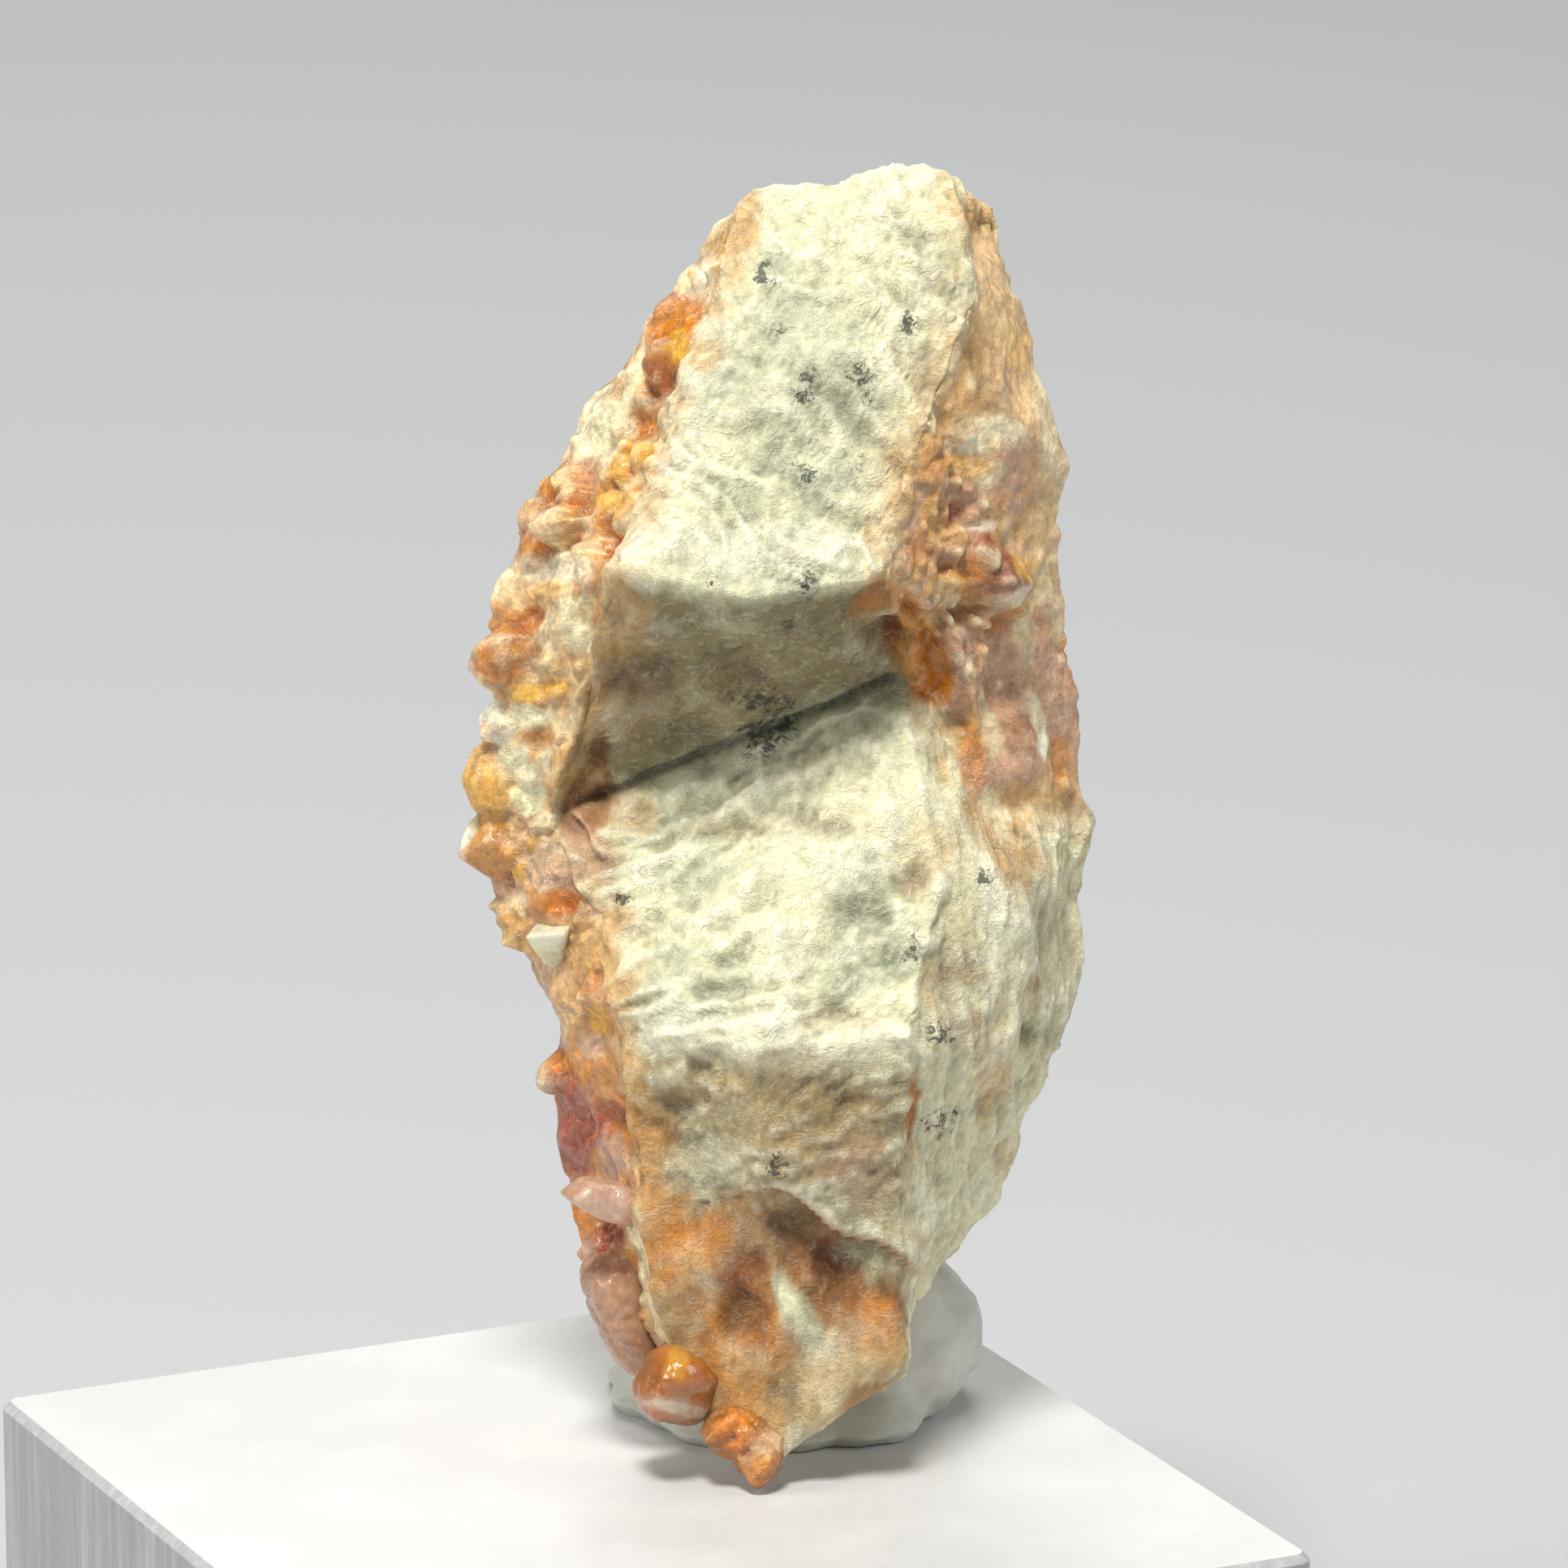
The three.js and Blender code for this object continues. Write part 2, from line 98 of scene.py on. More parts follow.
SECOND_LEDGE, CREASE, UPPER_LEDGE = 2, 4, 5
LEFT_EDGE, RIGHT_RIDGE = 1.0, 3.0
LUMP_HEIGHT, LUMP_WIDTH = 0.5, 3.6
BUMP_HEIGHT, BUMP_WIDTH = 0.26, 1.5


class Tone(Enum):
    """Linear colours of the specimen's minerals, as they look in even light."""

    CREAM = (0.88, 0.84, 0.54)
    WHITE = (0.96, 0.93, 0.74)
    GREENISH = (0.52, 0.54, 0.36)
    # KHAKI is partly painted shade: it is dark enough to stand for the overhang's shadow as well as its
    # brownish colour.
    KHAKI = (0.35, 0.28, 0.13)
    BLACK = (0.05, 0.05, 0.045)
    SHELL = (0.84, 0.69, 0.42)
    AMBER = (0.60, 0.225, 0.025)
    RUST = (0.37, 0.145, 0.03)
    DEEP_ORANGE = (0.62, 0.20, 0.004)
    YELLOW_ORANGE = (0.86, 0.46, 0.05)
    TAN = (0.66, 0.38, 0.13)
    HONEY = (0.90, 0.59, 0.29)
    EMBER = (0.56, 0.18, 0.02)
    ROSE = (0.78, 0.54, 0.42)
    PINK = (0.60, 0.34, 0.21)
    RED_BROWN = (0.30, 0.075, 0.03)
    MAUVE = (0.50, 0.27, 0.15)
    BROWN = (0.40, 0.24, 0.09)
    GARNET_RED = (0.33, 0.04, 0.012)

    @property
    def rgb(self) -> np.ndarray:
        """The tone as an array of three numbers."""
        return np.array(self.value)


def hash01(x: np.ndarray, y: np.ndarray, z: np.ndarray) -> np.ndarray:
    """A repeatable number from 0 to 1: the fraction of 43758.5453 times sin(127.1 x + 311.7 y + 74.7 z)."""
    s = np.sin(x * 127.1 + y * 311.7 + z * 74.7) * 43758.5453
    return s - np.floor(s)


def noise(p: np.ndarray) -> np.ndarray:
    """Smooth value noise from -1 to 1.

    Each corner of the unit cell round a point holds a hashed number, and the corners are mixed
    with weights t*t*(3 - 2t) along each axis.

    Args:
        p: Points, shape (..., 3).

    Returns:
        One value for each point.
    """
    cell = np.floor(p)
    t = p - cell
    t = t * t * (3 - 2 * t)
    total = np.zeros(p.shape[:-1])
    for corner in range(8):
        step = np.array([corner & 1, (corner >> 1) & 1, corner >> 2])
        weight = np.prod(np.where(step, t, 1 - t), axis=-1)
        at = cell + step
        total += weight * hash01(at[..., 0], at[..., 1], at[..., 2])
    return 2 * total - 1


def fractal(p: np.ndarray, octaves: int, shift: float = 0.0) -> np.ndarray:
    """Layered noise: the sum of noise(2.03^k p) / 2^k over the octaves, about -1 to 1.

    Args:
        p: Points, shape (..., 3).
        octaves: Number of layers.
        shift: Moves the pattern, so that two uses differ.

    Returns:
        One value for each point.
    """
    total = np.zeros(p.shape[:-1])
    for k in range(octaves):
        total += noise(p * 2.03**k + shift + 17.3 * k) / 2**k
    return total / 1.6


def ridged(p: np.ndarray, shift: float = 0.0) -> np.ndarray:
    """Sharp crests from 0 to 1, where noise crosses zero: (1 - |noise(p)|) squared."""
    return (1 - np.abs(noise(p + shift))) ** 2


def ramp(x: np.ndarray, low: float, high: float) -> np.ndarray:
    """A soft step from 0 at low to 1 at high: t*t*(3 - 2t) of the clipped share t."""
    t = np.clip((x - low) / (high - low), 0, 1)
    return t * t * (3 - 2 * t)


def band(x: np.ndarray, middle: float, width: float) -> np.ndarray:
    """A soft band that is 1 at the middle: exp(-((x - middle) / width)^2)."""
    return np.exp(-(((x - middle) / width) ** 2))


def mix(a: np.ndarray, b: np.ndarray, share: np.ndarray) -> np.ndarray:
    """Colours a turned into b by a share from 0 to 1 at each point."""
    return a + (b - a) * np.asarray(share)[..., None]


def unit(v: np.ndarray) -> np.ndarray:
    """Vectors scaled to length 1."""
    return v / np.maximum(np.linalg.norm(v, axis=-1, keepdims=True), 1e-9)


def panel_point(u: np.ndarray, v: np.ndarray) -> np.ndarray:
    """A point of the stone's panels: a straight mix of the four corners round (u, v).

    Args:
        u: Columns round the stone, which repeat.
        v: Rings up the stone. Outside the rings the last panel goes on.

    Returns:
        Points in the stone's frame, shape (..., 3).
    """
    ring = np.clip(np.floor(v), 0, TOP_RING - 1).astype(int)
    column = np.floor(u).astype(int)
    a = (u - column)[..., None]
    b = (v - ring)[..., None]
    left, right = column % COLUMNS, (column + 1) % COLUMNS
    low = RINGS[ring, left] * (1 - a) + RINGS[ring, right] * a
    high = RINGS[ring + 1, left] * (1 - a) + RINGS[ring + 1, right] * a
    return low * (1 - b) + high * b


def panel_normal(u: np.ndarray, v: np.ndarray) -> np.ndarray:
    """The way out of the stone: the cross product of its slopes over 0.3 of a panel to each side."""
    around = panel_point(u + 0.3, v) - panel_point(u - 0.3, v)
    up = panel_point(u, v + 0.3) - panel_point(u, v - 0.3)
    return unit(np.cross(around, up))


def relief(p: np.ndarray) -> np.ndarray:
    """Height of the large and small lumps: 0.5 noise(p/3.6) + 0.26 noise(p/1.5), as in the solid."""
    q = p / BUMP_WIDTH + np.array([9.0, 0, 0])
    return LUMP_HEIGHT * noise(p / LUMP_WIDTH) + BUMP_HEIGHT * noise(q)


def blurred(h: np.ndarray, times: int, around: bool) -> np.ndarray:
    """Heights or colours on a grid, each turned time and again into a mean with its four neighbours.

    Args:
        h: Values, shape (rows, columns, ...).
        times: How often; the reach grows with its square root.
        around: Whether the last column is next to the first.

    Returns:
        The smoothed values: each time half the point and an eighth of every neighbour.
    """
    for _ in range(times):
        low, high = np.concatenate([h[:1], h[:-1]]), np.concatenate([h[1:], h[-1:]])
        if around:
            left, right = np.roll(h, 1, axis=1), np.roll(h, -1, axis=1)
        else:
            left = np.concatenate([h[:, :1], h[:, :-1]], axis=1)
            right = np.concatenate([h[:, 1:], h[:, -1:]], axis=1)
        h = h / 2 + (low + high + left + right) / 8
    return h


def front_view(p: np.ndarray) -> tuple[np.ndarray, np.ndarray]:
    """Where points show from the front, in millimetres at the stone's middle.

    Args:
        p: Points in the stone's frame.

    Returns:
        Distances to the right of the stone's middle line, and heights, which are the points' own at
        the stone's middle: the sideways and upward parts of p - SIGHT_AIM, divided by the share of
        SIGHT_DISTANCE at which p lies.
    """
    q = p - SIGHT_AIM
    c, s = math.cos(SIGHT_TILT), math.sin(SIGHT_TILT)
    nearness = SIGHT_DISTANCE / (SIGHT_DISTANCE + q[..., 1] * c - q[..., 2] * s)
    return q[..., 0] * nearness, SIGHT_AIM[2] + (q[..., 1] * s + q[..., 2] * c) * nearness


@dataclass(frozen=True)
class ColourPatch:
    """An oval patch of colour, placed where it shows in the front view, in millimetres. Most are stains; a
    few are painted highlights and painted shade.

    Its edge wanders. Lean turns it, in degrees, so that its upper end goes to the right.
    """

    right: float
    up: float
    half_width: float
    half_height: float
    tone: Tone
    amount: float = 0.8
    lean: float = 0.0

    def share(self, right: np.ndarray, up: np.ndarray, wander: np.ndarray) -> np.ndarray:
        """How much of the patch there is: amount times 1 less a soft step of the distance.

        Args:
            right: Distances to the right in the front view.
            up: Heights in the front view.
            wander: Noise that moves the edge, more on a small patch than on a large one.

        Returns:
            Shares from 0 to amount.
        """
        c, s = math.cos(math.radians(self.lean)), math.sin(math.radians(self.lean))
        x, y = right - self.right, up - self.up
        d = np.hypot((x * c - y * s) / self.half_width, (x * s + y * c) / self.half_height)
        small = min(self.half_width, self.half_height, 0.8)
        return self.amount * (1 - ramp(d + wander * (0.35 + 0.35 / (1 + small)), 0.65, 1.3))


def patched(c: np.ndarray, p: np.ndarray, n: np.ndarray, colour_patches: tuple[ColourPatch, ...]) -> np.ndarray:
    """Colours with patches laid over them, one after another, on what faces the front: stains, and a few
    painted highlights and painted shade.

    Args:
        c: Linear colours.
        p: Points in the stone's frame.
        n: Outward directions.
        colour_patches: The patches.

    Returns:
        The new colours.
    """
    right, up = front_view(p)
    wander = fractal(p / 0.9, 4, 5.0)
    facing = ramp(n @ TO_EYE, -0.15, 0.1)
    for patch_here in colour_patches:
        c = mix(c, patch_here.tone.rgb, facing * patch_here.share(right, up, wander))
    return c


@dataclass(frozen=True)
class Pit:
    """A hollow, or a lump if its depth is below 0, placed in the front view, in millimetres."""

    right: float
    up: float
    radius: float
    depth: float

    def drop(self, right: np.ndarray, up: np.ndarray, wander: np.ndarray) -> np.ndarray:
        """Its depth at points of the front view: depth times exp(-(d / radius + 0.7 wander)^3)."""
        d = np.hypot(right - self.right, up - self.up) / self.radius
        return self.depth * np.exp(-(np.maximum(d + 0.7 * wander, 0) ** 3))


def colour_patches(*rows: tuple) -> tuple[ColourPatch, ...]:
    """Patches of colour from rows of right, up, half width, half height, tone, amount and lean."""
    return tuple(ColourPatch(*row) for row in rows)


def pits(*rows: tuple[float, float, float, float]) -> tuple[Pit, ...]:
    """Pits from rows of right, up, radius and depth."""
    return tuple(Pit(*row) for row in rows)


def border_wander(p: np.ndarray) -> np.ndarray:
    """How far the border wanders into a crust, in millimetres: 0.5 (layered noise - 0.9), held below 0."""
    return np.minimum(0.5 * (fractal(p / 1.5, 4, 8.0) - 0.9), 0)


def to_row(p: np.ndarray) -> np.ndarray:
    """Points of the stone's frame turned and moved onto the block, in metres."""
    c, s = math.cos(STONE_TURN), math.sin(STONE_TURN)
    turn = np.array([[c, -s, 0], [s, c, 0], [0, 0, 1]])
    return (p @ turn.T + STONE_PLACE) * MM


def grid_faces(rows: int, columns: int, around: bool) -> np.ndarray:
    """Quads of a grid of points stored row by row.

    Args:
        rows: Number of rows of points.
        columns: Number of points in a row.
        around: Whether the last column joins the first.

    Returns:
        Point numbers, shape (n, 4), wound so that a sheet whose columns run around the stone to the
        right and whose rows run up faces outwards.
    """
    i, j = np.meshgrid(np.arange(columns if around else columns - 1), np.arange(rows - 1))
    nxt = (i + 1) % columns
    quads = [j * columns + i, j * columns + nxt, (j + 1) * columns + nxt, (j + 1) * columns + i]
    return np.stack([q.ravel() for q in quads], axis=1)


def make_mesh(name: str, points: np.ndarray, faces: list,
              colours: np.ndarray | None = None) -> bpy.types.Object:
    """A smooth-shaded mesh object at the origin.

    Args:
        name: The piece's name.
        points: Points in metres, shape (n, 3).
        faces: Arrays of point numbers, one array for each number of corners.
        colours: Linear colours of the points, shape (n, 3), kept as the attribute "tone".

    Returns:
        The new object.
    """
    mesh = bpy.data.meshes.new(name)
    mesh.from_pydata(points.tolist(), [], [tuple(f) for part in faces for f in part.tolist()])
    mesh.polygons.foreach_set("use_smooth", np.ones(len(mesh.polygons), bool))
    if colours is not None:
        tone = mesh.color_attributes.new("tone", "FLOAT_COLOR", "POINT")
        rgba = np.concatenate([np.clip(colours, 0, 1), np.ones((len(points), 1))], axis=1)
        tone.data.foreach_set("color", rgba.astype(np.float32).ravel())
    mesh.update()
    obj = bpy.data.objects.new(name, mesh)
    bpy.context.scene.collection.objects.link(obj)
    return obj


def finish_piece(obj: bpy.types.Object, material: bpy.types.Material, slot: str, *nodes: str) -> None:
    """Gives a piece its material, its body and the nodes it stands for.

    Args:
        obj: The piece.
        material: Its material.
        slot: The material slot that the record names; not used.
        nodes: The solids' nodes that the piece replaces.
    """
    obj.data.materials.append(material)
    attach(obj, "root")
    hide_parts(*nodes)
    LOG.info("%s: %d faces", obj.name, len(obj.data.polygons))


def closed_surface(name: str, points: np.ndarray, colours: np.ndarray | None = None,
                   speck: np.ndarray | None = None) -> bpy.types.Object:
    """A closed piece from a grid whose rows are rings.

    Each end is closed with a fan to the mean of its ring.

    Args:
        name: The piece's name.
        points: Points in the stone's frame in millimetres, shape (rows, columns, 3).
        colours: Linear colours, shape (rows, columns, 3).
        speck: Share of dark growths, shape (rows, columns), kept as the attribute "speck".

    Returns:
        The new object, placed on the block.
    """
    rows, columns = points.shape[:2]
    count = rows * columns
    ends = [points[0].mean(axis=0), points[-1].mean(axis=0)]
    i = np.arange(columns)
    nxt = (i + 1) % columns
    last = (rows - 1) * columns
    bottom = np.stack([np.full(columns, count), nxt, i], axis=1)
    top = np.stack([np.full(columns, count + 1), last + i, last + nxt], axis=1)
    flat = to_row(np.concatenate([points.reshape(-1, 3), ends]))
    tones = None
    if colours is not None:
        end_tones = [colours[0].mean(axis=0), colours[-1].mean(axis=0)]
        tones = np.concatenate([colours.reshape(-1, 3), end_tones])
    obj = make_mesh(name, flat, [grid_faces(rows, columns, True), bottom, top], tones)
    if speck is not None:
        values = np.concatenate([speck.ravel(), [0, 0]]).astype(np.float32)
        obj.data.attributes.new("speck", "FLOAT", "POINT").data.foreach_set("value", values)
    return obj


def spaced(ends: tuple[float, float], density: np.ndarray, count: int, closed: bool) -> np.ndarray:
    """Values from one end to the other, closer together where the density is higher.

    They are the places where the running sum of the density passes equal steps.

    Args:
        ends: First and last value.
        density: Density at even steps between the ends.
        count: Number of values.
        closed: Whether the last end is the first again, and so is left out.

    Returns:
        The values, shape (count,).
    """
    at = np.linspace(ends[0], ends[1], len(density))
    sums = np.concatenate([[0], np.cumsum((density[1:] + density[:-1]) / 2)])
    steps = np.linspace(0, sums[-1], count + 1 if closed else count)
    return np.interp(steps[:count], sums, at)


ROCK_PATCHES = colour_patches(
    # Painted highlights: the two WHITE patches on the next row, on the lit upper ledge and the left ridge
    # above it.
    (-1.0, 28.7, 3.8, 0.8, Tone.WHITE, 0.35), (-3.7, 31.0, 0.6, 2.4, Tone.WHITE, 0.35, 28),
    # Painted highlight: the WHITE patch at up 12.9 on the next row, along the lit second ledge.
    (0.6, 33.4, 2.2, 2.6, Tone.GREENISH, 0.45), (-0.6, 12.9, 4.4, 0.9, Tone.WHITE, 0.35, 2),
    # Painted shade: the GREENISH band at up 22.4 on the next row, just under the crease.
    (-0.4, 22.4, 4.0, 0.8, Tone.GREENISH, 0.5, -25), (6.4, 39.4, 0.9, 0.9, Tone.TAN, 0.85),
    (8.9, 19.5, 0.9, 2.6, Tone.CREAM, 0.6, -8), (-0.6, 5.2, 4.2, 2.8, Tone.RUST, 0.68),
    (0.5, 10.2, 3.2, 1.8, Tone.BROWN, 0.42), (-4.3, 8.6, 1.1, 3.2, Tone.AMBER, 0.7, -22),
    (-3.9, 3.4, 0.9, 1.9, Tone.BROWN, 0.65, -15), (-5.9, 12.6, 1.0, 2.4, Tone.TAN, 0.8),
    (-5.4, 10.4, 0.7, 1.4, Tone.AMBER, 0.75, -15), (-1.2, 0.7, 1.3, 0.9, Tone.TAN, 0.85),
    (-2.6, 6.3, 0.9, 0.9, Tone.AMBER, 0.8), (4.2, 25.6, 0.9, 1.2, Tone.AMBER, 0.95, -20),
    (4.8, 24.4, 0.8, 0.9, Tone.DEEP_ORANGE, 1.0), (3.6, 27.2, 0.9, 0.7, Tone.TAN, 0.8, -30),
    (4.3, 30.6, 0.7, 1.8, Tone.TAN, 0.6, 20), (3.5, 25.7, 0.25, 0.4, Tone.RED_BROWN, 0.8),
    (3.1, 26.9, 0.9, 0.5, Tone.AMBER, 0.8, -30), (-1.6, 38.8, 0.8, 1.4, Tone.TAN, 0.75, 20),
    (0.5, 36.0, 1.4, 1.3, Tone.GREENISH, 0.5), (1.4, 34.0, 1.8, 1.0, Tone.GREENISH, 0.55),
    (5.2, 37.3, 1.0, 1.4, Tone.GREENISH, 0.45), (-1.6, 30.5, 1.6, 0.9, Tone.GREENISH, 0.5),
    (0.9, 31.2, 1.6, 0.8, Tone.GREENISH, 0.5), (-2.5, 34.8, 0.7, 0.6, Tone.TAN, 0.5),
    (5.2, 34.0, 1.0, 1.6, Tone.BROWN, 0.45, -20), (4.3, 31.6, 0.8, 0.9, Tone.TAN, 0.5),
    (-4.3, 30.3, 0.6, 0.9, Tone.TAN, 0.5, 30), (-5.3, 26.4, 1.0, 1.8, Tone.TAN, 0.6, 20),
    (-6.9, 22.7, 0.8, 1.8, Tone.TAN, 0.6, 15), (-5.6, 24.4, 1.2, 2.4, Tone.TAN, 0.4, 22),
    (-4.7, 23.3, 0.9, 1.3, Tone.PINK, 0.4, 10), (-5.3, 23.5, 0.6, 0.7, Tone.BROWN, 0.6),
    (-7.0, 22.7, 0.8, 1.6, Tone.TAN, 0.55), (-6.0, 21.6, 0.4, 0.7, Tone.AMBER, 0.7),
    (-6.4, 20.1, 0.9, 0.9, Tone.RUST, 0.9), (-6.3, 18.7, 1.0, 0.8, Tone.MAUVE, 0.7),
    (-4.7, 20.1, 0.7, 0.6, Tone.TAN, 0.55), (-1.7, 24.0, 1.8, 1.0, Tone.BROWN, 0.3),
    (-2.3, 19.6, 1.6, 0.4, Tone.BROWN, 0.4), (-2.8, 15.1, 1.6, 0.7, Tone.GREENISH, 0.6),
    (-1.7, 17.8, 2.0, 0.7, Tone.GREENISH, 0.35), (1.2, 15.4, 1.6, 0.5, Tone.GREENISH, 0.4),
    (1.7, 19.8, 1.6, 0.6, Tone.MAUVE, 0.25), (-6.1, 16.4, 1.2, 0.4, Tone.TAN, 0.75, -15),
    (-5.8, 14.5, 0.7, 1.6, Tone.TAN, 0.75), (4.3, 17.9, 0.5, 0.4, Tone.MAUVE, 0.55),
    (1.9, 13.4, 1.3, 0.4, Tone.BROWN, 0.35), (-3.6, 11.2, 2.1, 0.9, Tone.BROWN, 0.5),
    (1.2, 9.9, 2.4, 1.3, Tone.BROWN, 0.4), (2.5, 8.3, 1.2, 1.2, Tone.PINK, 0.4),
    (-2.8, 8.6, 1.4, 0.9, Tone.GREENISH, 0.6), (-5.1, 11.5, 0.6, 1.3, Tone.TAN, 0.7),
    (-4.6, 9.1, 0.6, 1.2, Tone.TAN, 0.65), (-3.6, 5.8, 1.6, 0.9, Tone.AMBER, 0.85),
    (-4.6, 5.4, 0.9, 0.8, Tone.TAN, 0.6), (-1.6, 2.9, 1.6, 1.6, Tone.AMBER, 0.85),
    (-1.3, 5.0, 1.0, 0.9, Tone.RUST, 0.8), (-1.1, 3.5, 0.7, 1.2, Tone.RUST, 0.75),
    (0.8, 5.5, 1.2, 0.9, Tone.RUST, 0.8), (1.5, 4.7, 1.3, 1.0, Tone.RUST, 0.75),
    (2.6, 3.6, 1.2, 1.3, Tone.RUST, 0.9), (3.1, 2.9, 0.8, 0.7, Tone.AMBER, 0.8),
    (3.4, 2.8, 0.4, 0.7, Tone.YELLOW_ORANGE, 0.4), (-1.3, 5.3, 0.9, 0.6, Tone.RED_BROWN, 0.5, -20),
    (1.5, 5.5, 1.0, 0.7, Tone.RED_BROWN, 0.5, -30), (3.0, 3.7, 0.5, 0.8, Tone.AMBER, 0.7),
    (1.4, 2.1, 1.5, 0.6, Tone.SHELL, 0.5, -20), (0.5, 3.9, 0.4, 1.5, Tone.GREENISH, 0.8, -35),
    (0.3, 4.1, 0.2, 1.0, Tone.CREAM, 0.5, -35), (2.9, 5.8, 1.2, 0.6, Tone.GREENISH, 0.55),
    (-3.0, 1.8, 1.0, 1.0, Tone.TAN, 0.55), (-4.6, 3.3, 0.9, 1.2, Tone.PINK, 0.55),
    (0.6, 1.3, 2.4, 1.2, Tone.TAN, 0.55, -20), (0.9, 1.5, 1.2, 0.5, Tone.SHELL, 0.5, -20),
    (2.9, 1.4, 1.0, 0.6, Tone.RUST, 0.6, -25), (1.9, -0.1, 1.6, 0.7, Tone.TAN, 0.6, -30),
    (-0.9, -0.1, 1.0, 0.7, Tone.TAN, 0.5), (4.2, 10.3, 0.2, 1.2, Tone.AMBER, 0.9),
    (5.6, 14.9, 0.8, 0.4, Tone.BROWN, 0.55), (6.0, 12.9, 0.6, 0.9, Tone.PINK, 0.45),
    (6.5, 11.5, 0.6, 0.9, Tone.TAN, 0.5), (7.8, 13.0, 0.2, 0.8, Tone.KHAKI, 0.7, 12),
    (8.0, 13.2, 0.6, 0.6, Tone.GREENISH, 0.5), (4.8, 18.8, 0.9, 0.9, Tone.TAN, 0.35),
    (7.4, 18.5, 0.9, 0.5, Tone.TAN, 0.5), (7.8, 14.7, 0.3, 0.3, Tone.BROWN, 0.6),
    (5.3, 11.5, 0.4, 2.4, Tone.GREENISH, 0.3),
)
ROCK_PITS = pits(
    (-6.4, 20.2, 0.9, 0.5), (3.3, 25.5, 0.6, 0.5), (-6.0, 21.8, 0.5, 0.5), (-4.7, 20.1, 0.8, -0.35),
    (4.3, 17.9, 0.6, 0.45), (-3.6, 11.0, 1.1, 0.35), (7.8, 13.0, 0.35, 0.35), (-1.2, 3.6, 0.9, 0.35),
    (1.6, 5.0, 1.0, 0.3), (-4.5, 24.6, 0.9, 0.3), (0.2, 3.4, 0.7, -0.25), (2.9, 2.6, 0.8, -0.3),
    (5.7, 39.7, 0.8, -0.35), (7.0, 39.4, 0.6, 0.45), (1.4, 13.2, 0.9, 0.3), (-2.2, 12.0, 0.7, 0.25),
)
GROWTHS = (
    (-0.5, 37.2, 0.5), (-0.1, 35.6, 0.3), (0.8, 33.9, 0.6), (2.6, 33.8, 0.8), (2.4, 31.3, 0.6),
    (0.5, 31.2, 0.7), (4.1, 35.9, 0.5), (-2.3, 27.6, 0.3), (0.7, 27.5, 0.4), (-2.1, 24.6, 0.4),
    (-0.5, 23.7, 1.1), (-1.9, 23.9, 0.4), (-0.9, 22.3, 0.9), (0.2, 22.9, 0.7), (4.2, 15.8, 0.6),
    (4.9, 13.0, 0.4), (5.0, 10.2, 0.6), (-0.2, 8.8, 0.5), (-5.3, 17.3, 0.3), (6.3, 18.0, 0.3),
    (0.1, 26.2, 0.3),
)


